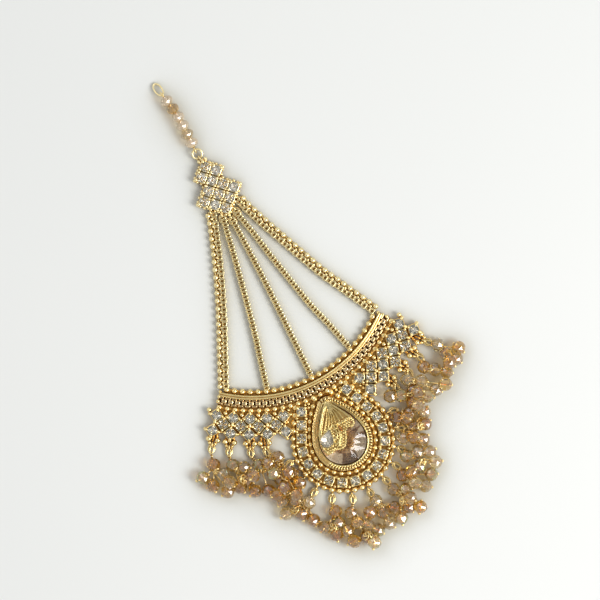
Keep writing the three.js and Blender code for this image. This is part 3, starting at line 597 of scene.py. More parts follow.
def drop_spoke(r, taper, x, y, lean):
    """spoke(angle, share) on a teardrop: angle 0 points at its tip."""
    foot = math.radians(90 - taper)
    c, s = math.cos(math.radians(lean)), math.sin(math.radians(lean))

    def spoke(a, share):
        a = (a + math.pi) % (2 * math.pi) - math.pi
        rho = r * share / (math.cos(foot - abs(a)) if abs(a) < foot else 1.0)
        px, py = rho * math.sin(a), rho * math.cos(a)
        return (x + px * c - py * s, y + px * s + py * c)

    return spoke


def pear_spoke(r):
    """spoke(angle, share) on the outline of the big setting where its round part has radius r: angle 0 points at its tip."""
    half = np.array([(d * math.sin(math.radians(a)), d * math.cos(math.radians(a))) for a, d in PEAR])
    line = smooth_line(np.vstack([half[:0:-1] * (-1, 1), half]), pitch=0.1)
    turn = np.arctan2(line[:, 0], line[:, 1])
    order = np.argsort(turn)
    turn, reach = turn[order], np.hypot(*line[order].T) * (r / BEZEL["r"])
    c, s = math.cos(math.radians(BEZEL["lean"])), math.sin(math.radians(BEZEL["lean"]))

    def spoke(a, share):
        a = (a + math.pi) % (2 * math.pi) - math.pi
        rho = share * float(np.interp(a, turn, reach))
        px, py = rho * math.sin(a), rho * math.cos(a)
        return (MEDALLION[0] + px * c - py * s, MEDALLION[1] + px * s + py * c)

    return spoke


def pear_outline(r, step=0.12):
    """Points round the big setting from its tip clockwise, at even spacing."""
    spoke = pear_spoke(r)
    dense = np.array([spoke(a, 1.0) for a in np.linspace(0, 2 * math.pi, 721)[:-1]])
    return resample(np.vstack([dense, dense[:1]]), pitch=step)[:-1]


def dome_z(x, y):
    r = STONE["dome"]
    return STONE["top"] - r + np.sqrt(r * r - (x - STONE["x"]) ** 2 - (y - STONE["y"]) ** 2)


# ----------------------------------------------------------------------------------------------------------------
# Pieces
# ----------------------------------------------------------------------------------------------------------------
GOLDS = [GOLD, CRYSTAL, FOIL, DEEP, DARK, BROWN, COPPERY]
CLAW = 0.3


def setting(f, x, y, deg, side=3.5, stone=1.53, prong=0.38, turn=0.0):
    """A square cup with a claw at each corner and a round stone. deg is the heading of one of its corners."""
    flat = deg + 45
    f.window(x, y, flat, side, side, side - 0.7, side - 0.7, 0.75, 2.42, bevel=0.16, mat=0, cut=0.55)
    # painted shade: a dark block under the stone, inside the cup
    f.block(x, y, flat, side - 0.5, side - 0.5, 0.8, 1.5, bevel=0.1, mat=4)
    f.cushion_gem(x, y, 2.5, stone, flat, turn=turn)
    for k in range(4):
        d = toward(deg + 90 * k)
        c = p3(x, y) + d * (side * 0.707 - 0.42)
        f.tube([c + p3(0, 0, 0.9), c + p3(0, 0, 2.3), c + d * -0.06 + p3(0, 0, 2.75)], [prong * 0.85, prong, prong * 0.95], 0, 8)
        f.ball(c + d * -0.14 + p3(0, 0, 2.78), 0.52, 0, 12, 8)


def hook_eye():
    f = Form()
    f.oval(EYE["near"], EYE["far"], EYE["half"], WIRE["eye"], 0, 40, 12)
    return f.make("eye", [LIGHT], ["hook_eye"])


def jump_ring():
    f = Form()
    f.oval(JUMP["near"], JUMP["far"], JUMP["half"], 0.36, 0, 40, 12)
    return f.make("crest_ring", [LIGHT], ["jump_ring"])


def strand():
    f = Form()
    centres = [p3(STRAND["x"] - l, STRAND["y"] + i * STRAND["pitch"], STRAND["z"]) for i, l in enumerate(STRAND["lean"])]
    low, high = p3(*JUMP["far"]), p3(*EYE["near"])
    last = centres[-1]
    f.tube([low + p3(0, STRAND["loop"], 0), *centres, last + unit(high - last) * 2.0], WIRE["pin"], 0, 8)
    for i, c in enumerate(centres):
        axis = p3(0, 1, 0) if i == 0 else c - centres[i - 1]
        f.rondelle(c, axis, glass=1 + (4, 3, 4, 4, 1, 4)[i], turn=0.13 * i + 0.2, r=2.3, half=1.62)
        if i:
            f.ball((c + centres[i - 1]) / 2, 0.34, 0, 10, 6)
    for at, along, bead in ((low, p3(0, 1, 0), centres[0]), (high, high - last, last)):
        f.ring_on_edge(at, along, STRAND["loop"], WIRE["link"])
        toward_bead = unit(bead - at)
        f.coil(at + toward_bead * (STRAND["loop"] - 0.1), bead - toward_bead * 1.5, 0.34, 0.15, 2.5)
    return f.make("strand", [GOLD, *BEADS], ["bead_strand"])


def crest():
    f = Form()
    spots = []
    for row, n in enumerate(CREST["across"]):
        for i in range(n):
            spots.append((CREST["x"] + (2 * i - (n - 1)) * CREST["stepX"], CREST["y"] - row * CREST["stepY"]))
    for k, (x, y) in enumerate(spots):
        # painted shade: the plate under each cup is a darker brown copy of the gold
        f.block(x, y, 45, 3.9, 3.9, 0.02 + 0.01 * (k % 4), PLATE - 0.03 * (k % 3), bevel=0.15, mat=3, cut=0.6)
        setting(f, x, y, 0, side=3.6, stone=1.58, turn=37 * k)
        for sx, sy in ((1, 1), (1, -1), (-1, 1), (-1, -1)):  # a pair of balls along each outer edge
            if min(math.hypot(x + sx * CREST["stepX"] - a, y + sy * CREST["stepY"] - b) for a, b in spots) > 0.5:
                out = unit(p3(sx * CREST["stepX"], sy * CREST["stepY"]))
                side = p3(-out[1], out[0])
                for t in (-0.78, 0.78):
                    f.ball(p3(x, y, 1.55) + out * 2.02 + side * t, 0.56, 0, 12, 8)
    corners = {}
    for x, y in spots:
        for dx, dy in ((1, 0), (-1, 0), (0, 1), (0, -1)):
            at = (round(x + dx * CREST["stepX"], 3), round(y + dy * CREST["stepY"], 3))
            corners[at] = corners.get(at, 0) + 1
    for (x, y), shared in corners.items():
        if shared > 2:
            # painted shade: a brown block where three or four cups meet
            f.block(x, y, 45, 1.25, 1.25, 0.9, 2.3, bevel=0.1, mat=4)
            continue
        f.ball(p3(x + (0.25 if x < 0 else -0.25) * (abs(x) > 5), y, 1.9), 0.62, 0, 12, 8)
    for s in (-1, 1):
        f.ball(p3(s * 1.2, 106.9, 1.7), 0.68, 0, 12, 8)
    for name, x, y, tx, ty in CREST_LUGS:
        c = p3(x, y, LUG["z"])
        out = unit(c - p3(tx, ty, LUG["z"]))
        f.ring_on_edge(c, out, LUG["r"], WIRE["link"])
        f.tube([c - out * LUG["r"], p3(tx, ty, 0.9)], 0.36, 0, 8)
    return f.make("crest_setting", [LIGHT, CRYSTAL, FOIL_BRIGHT, BROWN, BROWN], ["crest"])


def box_chain(f, line, pitch=2.52, width=2.25, hole=(0.46, 1.0), step=1.6):
    """A Venetian box chain: square links, each second one a little lower and narrower."""
    pts = resample(line, pitch=pitch / 2)
    head = headings(pts)
    for i, ((x, y), a) in enumerate(zip(pts[:, :2], head)):
        low = 0.16 * (i % 2)
        f.window(x, y, a, pitch * 0.49, width - step * low, hole[0], hole[1], 0.28, 1.92 - low, bevel=0.15, cut=0.24)
        # painted shade: a darker block inside each link, seen through its hole
        f.block(x, y, a, pitch * 0.46, 1.1, 0.2, 0.95, bevel=0.1, mat=3)


def chains():
    for (number, width, route), lug in zip(CHAINS, CREST_LUGS[1:]):
        f = Form()
        route = np.array(route, float)
        c = p3(lug[1], lug[2], LUG["z"])
        start = p3(*route[0], LUG["z"])
        along = unit(start - c)
        f.oval(c, start, LINK["half"], 0.34, 0, 30, 8)
        # the chain itself starts under its loop
        line = smooth_line(np.vstack([(c + along * 1.1)[:2], route]), pitch=0.5)
        if width < 3:
            end = line[-1] + unit(line[-1] - line[-3]) * 0.7
            box_chain(f, np.vstack([line, end]))
        else:
            side = 1 if number == 1 else -1  # the balls are on the outer side of the fan
            line = np.vstack([line, line[-1] + unit(line[-1] - line[-3]) * 1.2])
            t = np.gradient(line, axis=0)
            t /= np.linalg.norm(t, axis=1)[:, None]
            left = np.column_stack([-t[:, 1], t[:, 0]])
            outer = -side * 1.0
            box_chain(f, line + left * outer * -1.0 * 0.9, pitch=3.3, width=2.15, hole=(0.7, 0.95), step=3.0)
            # painted shade: a darker strip under both rows
            f.ribbon(line + left * outer * 0.1, [(-1.55, 0.16), (-1.6, 0.7), (-1.5, 0.85), (1.4, 0.85), (1.5, 0.7), (1.45, 0.16)], 3)
            balls = resample(line + left * outer * 1.1, pitch=2.6)
            inner = resample(line + left * outer * 0.2, count=len(balls))
            for b, q in zip(balls, inner):
                f.ball(p3(*b, 1.12), 0.97, 0, 16, 9)
                f.block(*((b + q) / 2), math.degrees(math.atan2(*(b - q)[::-1])), 1.5, 0.5, 0.5, 1.3, bevel=0.12)
            for q in resample(line + left * outer * 0.16, count=2 * len(balls) - 1)[1::2]:
                f.ball(p3(*q, 1.25), 0.52, 0, 12, 8)
            mids = (balls[1:] + balls[:-1]) / 2
            for m, a in zip(mids, headings(mids)):
                f.block(*m, a, 1.5, 0.42, 0.55, 1.25, bevel=0.12)
        f.make(f"fan_chain_{number}", [LIGHT, CRYSTAL, FOIL, LIGHT_DEEP], [f"chain_{number}"])


def ball_row(f, pts, z, r):
    """Balls in a row, with a short link between each two."""
    pts = np.asarray(pts, float)[:, :2]
    for x, y in pts:
        f.ball(p3(x, y, z), r)
    for a, b in zip(pts[:-1], pts[1:]):
        m, t = (a + b) / 2, b - a
        # painted shade: the link between two balls is a darker copy of the gold
        f.block(*m, math.degrees(math.atan2(t[1], t[0])), np.hypot(*t) - 1.2, 0.8, z - 0.7, z + 0.1, bevel=0.16, mat=3)


def bar(f):
    """The curved bar: balls, a double rail, a row of box links and balls again."""
    # upper balls
    n = int(round(math.radians(2 * BAR_DEG["upper"]) * BAR["upper"] / 2.75)) + 1
    ball_row(f, arc_line(BAR["upper"], -BAR_DEG["upper"] + 0.8, BAR_DEG["upper"] - 0.8, n), 1.36, 1.04)
    # painted shade: a brown strip under the upper balls
    f.ribbon(arc_line(BAR["upper"], -BAR_DEG["upper"], BAR_DEG["upper"], 120), [(-0.45, 0.5), (-0.35, 1.2), (0.35, 1.2), (0.45, 0.5)], 5)
    # rail: two round ridges with a groove between
    section = []
    for x in np.linspace(-0.72, 0.72, 23):
        k = abs(x) - 0.37
        section.append((x, 2.42 + 0.46 * math.sqrt(max(0.0, 1 - (k / 0.37) ** 2))))
    section = [(-0.74, 0.3)] + section + [(0.74, 0.3)]
    f.ribbon(arc_line(BAR["rail"], -BAR_DEG["rail"] + 0.4, BAR_DEG["rail"] - 0.4, 200), section, 0, smooth=True)
    # box links: square blocks with slots between, and plates across the slots along both edges
    count = 29
    pitch = (2 * BAR_DEG["boxes"] - 2.2) / count
    for i in range(count):
        d = (i - (count - 1) / 2) * pitch
        x, y, _ = on_arc(BAR["boxes"], d)
        f.block(x, y, d, 1.74, 1.36, 0.7, 2.28, bevel=0.3, mat=6, cut=0.24)
        # painted shade: a darker block under each box link
        f.block(x, y, d, 1.0, 2.2, 0.7, 1.5, bevel=0.1, mat=3)
    for i in range(count + 1):
        d = (i - count / 2) * pitch
        for off in (-1.0, 1.0):
            x, y, _ = on_arc(BAR["boxes"] + off, d)
            f.block(x, y, d, 1.78, 0.62, 0.7, 2.2, bevel=0.2, mat=6, cut=0.16)
        x, y, _ = on_arc(BAR["boxes"], d)
        # painted shade: a dark block in each slot between the box links
        f.block(x, y, d, 0.5, 2.4, 0.7, 1.35, bevel=0.1, mat=4)
    # painted shade: a dark strip under the row of box links
    f.ribbon(arc_line(BAR["boxes"], -BAR_DEG["boxes"] + 0.6, BAR_DEG["boxes"] - 0.6, 120), [(-1.35, 0.2), (-1.3, 1.22), (1.3, 1.22), (1.35, 0.2)], 4)
    # lower balls
    n = int(round(math.radians(2 * BAR_DEG["lower"]) * BAR["lower"] / 2.8)) + 1
    ball_row(f, arc_line(BAR["lower"], -BAR_DEG["lower"] + 0.7, BAR_DEG["lower"] - 0.7, n), 1.45, 0.98)
    # ends
    for s in (-1, 1):
        for r, z, b in ((46.9, 1.5, 0.62), (48.6, 1.6, 0.66), (50.2, 1.55, 0.7)):
            f.ball(on_arc(r, s * (BAR_DEG["boxes"] - 0.2), z), b, 0, 14, 8)
    # painted shade: the backings under the bar are darker copies of the gold
    f.ribbon(arc_line((BAR["upper"] + BAR["lower"]) / 2, -BAR_DEG["upper"], BAR_DEG["upper"], 90), [(-3.5, 0.03), (-3.6, 0.2), (-3.6, 1.0), (-3.4, 1.16), (3.4, 1.16), (3.6, 1.0), (3.6, 0.2), (3.5, 0.03)], 3)
    f.ribbon(arc_line(BAR["lower"], -BAR_DEG["lower"], BAR_DEG["lower"], 90), [(-0.75, 0.05), (-0.8, 0.9), (-0.7, 1.1), (0.7, 1.1), (0.8, 0.9), (0.75, 0.05)], 3)
    f.ribbon(arc_line(BAR["boxes"], -BAR_DEG["boxes"] + 0.2, BAR_DEG["boxes"] - 0.2, 90), [(-2.1, 0.06), (-2.2, 0.9), (-2.1, 1.12), (2.1, 1.12), (2.2, 0.9), (2.1, 0.06)], 3)


def lattices(f):
    k = 0
    for side in (-1, 1):
        corners, cups = [], []
        for row, (r, first, count) in enumerate(LATTICE):
            for i in range(count):
                d = side * (first + i * STEP)
                x, y, _ = on_arc(r, d)
                cups.append((x, y))
                k += 1
                # painted shade: the plate under each cup is a darker copy of the gold
                f.block(x, y, d + 45, 3.9, 3.9, 0.02 + 0.01 * (k % 5), PLATE - 0.03 * (k % 4), bevel=0.15, mat=3, cut=0.8)
                setting(f, x, y, d, side=3.64, stone=1.55, turn=41 * k)
                for a in range(4):
                    out = on_arc(r, d) + toward(d + 90 * a) * 2.42
                    if all(np.hypot(*(out - q)[:2]) > 1.0 for q in corners):
                        corners.append(out)
        last = LATTICE[0][1] + STEP * 4
        # painted shade: this strip and the wide one after the balls are darker copies of the gold
        f.ribbon(arc_line(53.7, side * 12.2, side * (last - 0.2), 60), [(-1.3, 0.045), (-1.35, 0.9), (-1.25, 1.09), (1.25, 1.09), (1.35, 0.9), (1.3, 0.045)], 3)
        for x, y, _ in corners:  # higher where three or four cups meet
            shared = sum(math.hypot(x - a, y - b) < 3.1 for a, b in cups)
            f.ball(p3(x, y, 2.62 if shared > 2 else 1.7), 0.66, 0, 12, 8)
        f.ribbon(arc_line(LATTICE[1][0], side * (LATTICE[0][1] + 0.2), side * (last - 0.2), 50), [(-2.6, 0.04), (-2.7, 1.0), (-2.6, 1.15), (2.6, 1.15), (2.7, 1.0), (2.6, 0.04)], 3)
        # small pips in the spaces between the cups
        for i in range(5):
            f.ball(on_arc(53.75, side * (LATTICE[0][1] + STEP * (i + 0.5)), 1.8), 0.82, 0, 14, 8)
            f.ball(on_arc(53.4, side * (LATTICE[0][1] + STEP * (i - 0.02)), 2.4), 0.5, 0, 12, 8)
    # pairs of balls under the lattices, and the loops that carry the drops
    for name, seat, *_ in DROPS:
        if name.startswith("drop_ring"):
            out = toward(seat)
            f.ring_on_edge(p3(*MEDALLION, LUG["z"]) + out * (RING["outer"][0] + BALL_R + LUG["out"]), out, LUG["r"], WIRE["link"])
            continue
        for s in (-1, 1):
            p = on_arc(TRIO["balls"], seat + s * TRIO["spread"], 1.38)
            f.ball(p, 0.98)
            # painted shade: the stems under the balls and under the loop are a darker copy of the gold
            f.tube([p3(p[0], p[1], 0.75), on_arc(TRIO["balls"] - 3.2, seat + s * TRIO["spread"] * 0.4, 0.7)], 0.5, 3, 8)
            f.ball(on_arc(TRIO["balls"] + 1.35, seat + s * TRIO["spread"] * 0.62, 1.2), 0.62, 0, 12, 8)
        c = on_arc(TRIO["lug"], seat, LUG["z"])
        out = c - on_arc(TRIO["balls"], seat, LUG["z"])
        f.ring_on_edge(c, out, LUG["r"], WIRE["link"])
        f.tube([on_arc(TRIO["lug"] - LUG["r"] + 0.1, seat, 0.8), on_arc(TRIO["balls"] - 2, seat, 0.7)], 0.45, 3, 8)


def medallion(f):
    outer, stones, inner = (ring_line(RING[k]) for k in ("outer", "stones", "inner"))
    for line, z, r, pitch in ((outer, 1.4, 1.04, 2.62), (inner, 1.45, 0.98, 2.6)):
        ball_row(f, resample(line, pitch=pitch), z, r)
    pts = resample(stones, count=RING_STONES)
    dense = resample(stones, count=400)
    for k, ((x, y), i) in enumerate(zip(pts, np.linspace(0, 399, RING_STONES).astype(int))):
        t = dense[min(i + 2, 399)] - dense[max(i - 2, 0)]
        setting(f, x, y, math.degrees(math.atan2(t[1], t[0])) + 45, side=3.45, stone=1.5, turn=53 * k)
    # painted shade: the strips under the rows and the plate under the whole ring are darker, browner copies of the gold
    for line, w0, w1, z in ((outer, -0.3, 0.95, 1.12), (stones, -2.3, 2.3, 1.16), (inner, -1.0, 0.95, 1.2)):
        f.ribbon(resample(line, pitch=0.9), [(w0, 0.03 + z / 100), (w0 - 0.08, 0.9), (w0 + 0.05, z), (w1 - 0.05, z), (w1 + 0.08, 0.9), (w1, 0.03 + z / 100)], 3 if line is stones else 5)
    f.slab(pear_outline(11.3, step=0.6), 0.036, 1.0, mat=5)
    # plates that join the ring to the bar and to the lattices, in a darker copy of the gold: painted shade
    taken = [on_arc(r, side * (first + i * STEP))[:2] for side in (-1, 1) for r, first, count in LATTICE for i in range(count)] + list(pts)
    rows = [resample(line, pitch=0.4) for line in (outer, inner)]
    for s in (-1, 1):
        for k, outline in enumerate((
            [(2.4, 15.6), (5.4, 12.8), (7.6, 13.8), (9.4, 16.6), (9.0, 18.4), (2.0, 17.5)],
            [(9.0, 17.4), (12.2, 11.8), (15.0, 9.4), (15.6, 13.6), (14.0, 18.4), (10.8, 18.9)],
        )):
            f.slab([(MEDALLION[0] + s * x, y) for x, y in outline][:: s], 0.05 + 0.01 * k, 1.04 + 0.03 * k, 0.12, 3)
    # grains over the plates, wherever there is room between the cups and the rows of balls
    shake = np.random.RandomState(11)
    for iy in range(14):
        for ix in range(-15, 16):
            x, y = 1.32 * (ix + 0.5 * (iy % 2)) + shake.uniform(-0.12, 0.12), 8.6 + 1.14 * iy + shake.uniform(-0.1, 0.1)
            size = shake.uniform(0.5, 0.64)
            if math.hypot(x - ARC[0], y - ARC[1]) < BAR["lower"] + 1.25 or abs(x) > 15.8:
                continue
            if any(math.hypot(x - a, y - b) < 2.15 for a, b in taken):
                continue
            if any(np.min(np.hypot(row[:, 0] - x, row[:, 1] - y)) < 1.3 for row in rows):
                continue
            under = any(inside(np.array([s * (x - MEDALLION[0])]), np.array([y]), np.array(o))[0] for s in (-1, 1) for o in (
                [(2.6, 15.9), (5.4, 13.0), (7.6, 13.8), (9.4, 16.6), (9.0, 18.2), (2.2, 17.5)],
                [(9.0, 17.4), (12.2, 11.9), (14.9, 9.6), (15.4, 13.6), (14.0, 18.2), (10.8, 18.8)],
            )) or np.min(np.hypot(rows[1][:, 0] - x, rows[1][:, 1] - y)) < 1.9
            if under:
                f.ball(p3(x, y, 1.35), size, 0, 12, 8)
    # small pips on both sides of each gap between the stones
    mids = resample(stones, count=2 * RING_STONES - 1)[1::2]
    near = resample(stones, count=400)
    for x, y in mids:
        i = int(np.argmin(np.hypot(near[:, 0] - x, near[:, 1] - y)))
        t = near[min(i + 2, 399)] - near[max(i - 2, 0)]
        t /= np.linalg.norm(t)
        for s in (-1.58, 1.58):
            f.ball(p3(x - t[1] * s, y + t[0] * s, 2.05), 0.6, 0, 12, 8)


def frame_piece():
    f = Form()
    bar(f)
    lattices(f)
    medallion(f)
    return f.make("jewel_frame", GOLDS, ["frame"])


def bezel():
    f = Form()
    path = pear_outline((BEZEL["r"] + BEZEL["inner"]) / 2 + 0.16, step=0.1)
    n = len(path)
    s = np.concatenate([[0], np.cumsum(np.linalg.norm(np.diff(path, axis=0), axis=1))])
    angle = np.degrees(np.arctan2(path[:, 1] - 2.0, path[:, 0] - MEDALLION[0]))  # round the setting, 0 to the right
    across = np.linspace(-0.8, 0.8, 21)

    def share(a, low, high, soft=8.0):
        """1 inside a span of angles, fading over a few degrees."""
        mid, half = (low + high) / 2, (high - low) / 2
        d = abs((a - mid + 180) % 360 - 180)
        return min(1.0, max(0.0, (half - d) / soft + 0.5))

    def cut(i, x):
        return 0.5 - 0.5 * math.sin(2 * math.pi * (s[i] / 0.93 - 0.35 * x))

    def styles(i):
        # the plain band with fine ridges on the left, and a row of grains at the upper right
        return share(angle[i], 96, 222), share(angle[i], -2, 80, 6.0)

    def profile(i):
        smooth, beads = styles(i)
        rows = [(-0.82, 0.9), (-0.82, 3.1)]
        for w in across:
            # w > 0 is inside on a clockwise path, so it is turned here
            x = w
            rim = 3.35 + 0.28 * math.exp(-(((x - -0.62) / 0.13) ** 2))
            cord = 3.05 + 0.85 * math.sqrt(max(0.0, 1 - ((x - 0.15) / 0.66) ** 2)) if -0.5 < x else 0
            cord -= 0.6 * cut(i, x) ** 1.5 if -0.5 < x else 0
            milled = max(cord, rim)
            grain = abs(math.sin(math.pi * s[i] / 1.0)) ** 0.6
            pearl = 2.95 + 0.95 * grain * math.sqrt(max(0.0, 1 - ((x - 0.3) / 0.48) ** 2))
            pearl = max(pearl, 3.25 + 0.12 * math.cos(2 * math.pi * x / 0.27) if x < -0.1 else 0)
            band = 3.35 + 0.32 * math.cos(x * 1.4) + 0.12 * math.cos(2 * math.pi * x / 0.42)
            z = milled + (pearl - milled) * beads
            z = z + (band - z) * smooth
            rows.append((x, min(z, 3.98)))
        rows += [(0.82, 3.0), (0.82, 0.25), (0.7, 0.03), (-0.7, 0.03)]
        return [(-1.2 * w, z) for w, z in rows]

    pts = path[::-1]
    s, angle = s[::-1], angle[::-1]
    f.ribbon(pts, profile, 0, smooth=True, closed=True)
    k = len(profile(0))
    # painted shade: the faces at the bottom of the milled cuts, between the grains and between the fine ridges take
    # darker materials
    for i in range(n):
        smooth, beads = styles(i)
        for j, x in enumerate(across):
            milled = beads < 0.5 and smooth < 0.5 and x > -0.4 and cut(i, x) > 0.66
            pearled = beads >= 0.5 and x > -0.15 and abs(math.sin(math.pi * s[i] / 1.0)) < 0.45
            ridged = smooth >= 0.5 and math.cos(2 * math.pi * x / 0.42) < -0.7 and abs(x) < 0.7
            if milled or pearled or ridged:
                f.m[i * k + j + 2] = 3 if ridged else 4
    # painted shade: the plate under the stone and the strip round the outside are darker copies of the gold
    f.slab(pear_outline(8.5, step=0.6), 0.04, 0.95, mat=3)
    f.ribbon(pear_outline(10.1, step=0.5), [(-0.3, 0.05), (-0.3, 1.2), (0.0, 1.45), (0.35, 1.2), (0.35, 0.05)], 3, closed=True)
    return f.make("teardrop_setting", [BAND, CRYSTAL, FOIL, DEEP, LEAF_DEEP], ["bezel"])


# patches of the stone's back that take the pale foil: painted reflection
PAINTED_REFLECTION_FACETS = [
    [(3.0, -0.4), (6.4, 0.2), (7.6, -3.0), (6.4, -5.6), (3.6, -7.2), (2.0, -5.0), (2.4, -2.4)],
    [(6.2, 2.0), (6.8, 5.4), (8.6, 4.0), (8.6, -0.4), (6.9, -0.2)],
    [(-6.6, -2.2), (-3.2, -1.8), (-2.2, -4.6), (-3.6, -7.4), (-6.4, -5.6)],
]


def drop_stone():
    f = Form()

    # painted reflection and shade on the stone: pale foil in the listed patches, smoky foil towards the bottom and the
    # right, amber elsewhere
    def back(x, y):
        if any(inside(np.array([x]), np.array([y]), np.array(o))[0] for o in PAINTED_REFLECTION_FACETS):
            return 1
        return 3 if y < -3.4 or x > 5 else 2

    f.gem(pear_spoke(STONE["r"]), 3.3, 1.9, 2.05, 0, back, n=12, table=0.46, mid=0.76, rise=0.6, phase=0.2)
    return f.make("teardrop_stone", [STONE_GLASS, FOIL_PALE, FOIL_WARM, FOIL_SMOKY], ["drop_stone"])


def small_stone():
    f = Form()
    f.gem(drop_spoke(SMALL["r"] + 0.42, SMALL["taper"], SMALL["x"], SMALL["y"], SMALL["lean"]), 6.1, 1.0, 0.7, 0, 1, n=8, table=0.5, mid=0.78)
    return f.make("leaf_stone", [CRYSTAL_SOFT, FOIL_SOFT], ["small_stone"])


def polyline_distance(px, py, line):
    best = np.full(px.shape, 1e9)
    along = np.zeros(px.shape)
    run = 0.0
    for (ax, ay), (bx, by) in zip(line[:-1], line[1:]):
        dx, dy = bx - ax, by - ay
        length = math.hypot(dx, dy)
        t = np.clip(((px - ax) * dx + (py - ay) * dy) / length**2, 0, 1)
        d = np.hypot(px - ax - t * dx, py - ay - t * dy)
        near = d < best
        best = np.where(near, d, best)
        along = np.where(near, run + t * length, along)
        run += length
    return best, along


def inside(px, py, line):
    result = np.zeros(px.shape, bool)
    for (ax, ay), (bx, by) in zip(line, np.roll(line, -1, 0)):
        cross = (ay > py) != (by > py)
        with np.errstate(divide="ignore", invalid="ignore"):
            x = ax + (py - ay) / (by - ay) * (bx - ax)
        result ^= cross & (px < x)
    return result


# Raised lines of the leaf: points, half width, height, grain pitch (0 for a plain line)
LEAF_LINES = [
    ([(0.85, 14.6), (-0.5, 13.2), (-2.5, 10.9), (-4.4, 8.3), (-5.9, 5.7), (-6.8, 2.8), (-6.95, 0.4), (-6.4, -1.3)], 0.40, 0.36, 0),
    ([(0.85, 14.4), (-0.2, 12.8), (-2.0, 10.6), (-3.7, 8.3), (-5.2, 6.0), (-6.1, 4.2)], 0.27, 0.38, 0),
    ([(0.85, 14.3), (0.2, 12.2), (-1.1, 10.0), (-2.6, 7.9), (-4.0, 6.0)], 0.25, 0.38, 0),
    ([(0.85, 14.3), (0.5, 11.9), (-0.35, 9.6), (-1.5, 7.6), (-2.7, 5.8)], 0.25, 0.38, 0),
    ([(0.85, 14.3), (0.8, 11.7), (0.35, 9.3), (-0.5, 7.3), (-1.3, 6.0)], 0.25, 0.4, 0),
    ([(0.85, 14.3), (1.1, 11.8), (1.15, 9.4), (0.7, 7.0)], 0.27, 0.42, 0),
    ([(0.9, 14.3), (1.5, 12.0), (2.05, 9.6), (2.1, 7.0)], 0.25, 0.38, 0),
    ([(0.9, 14.3), (1.85, 12.2), (3.0, 9.9), (3.5, 7.2)], 0.25, 0.38, 0),
    ([(0.9, 14.4), (2.3, 12.7), (4.1, 9.9), (5.3, 7.8), (6.1, 6.0)], 0.38, 0.34, 0),
    ([(-0.4, 6.6), (-0.35, 4.6), (-0.5, 3.0), (-1.3, 1.9)], 0.34, 0.48, 0),
    ([(-1.3, 1.9), (-2.3, 2.3), (-2.9, 1.4), (-2.4, 0.4), (-1.4, 0.3), (-0.9, 1.1)], 0.32, 0.5, 0),
    ([(0.5, 6.2), (0.55, 4.4), (0.3, 2.9), (-0.3, 1.5), (-1.5, -0.5), (-2.6, -0.9)], 0.3, 0.46, 0),
    ([(-0.4, 6.6), (-1.5, 6.3), (-2.6, 5.6), (-3.0, 4.8)], 0.28, 0.42, 0),
    ([(0.9, 6.4), (2.0, 6.1), (3.2, 5.9), (4.4, 6.5), (5.4, 6.4), (6.3, 5.4), (6.3, 4.1), (5.2, 3.3), (4.1, 3.7), (3.0, 3.3), (2.2, 2.7)], 0.36, 0.42, 0.72),
    ([(2.2, 2.7), (1.7, 0.9), (0.6, -0.9), (-0.8, -1.9), (-2.4, -1.7), (-3.6, -1.1), (-5.2, -1.6), (-6.4, -1.3)], 0.36, 0.42, 0.7),
    ([(0.6, 2.6), (0.3, 1.2), (-0.5, 0.0), (-1.8, -0.8)], 0.26, 0.3, 0.6),
    ([(2.6, 5.0), (3.4, 4.7), (4.3, 5.2), (5.0, 4.6)], 0.26, 0.3, 0.6),
]
LEAF_HOLES = [  # cut right through, so that the stone shows: x, y, half length, half width, heading
    (1.25, 4.4, 1.0, 0.42, 100),
    (5.55, 4.6, 0.5, 0.42, 0),
    (0.95, 0.9, 0.0, 0.0, 0),
]


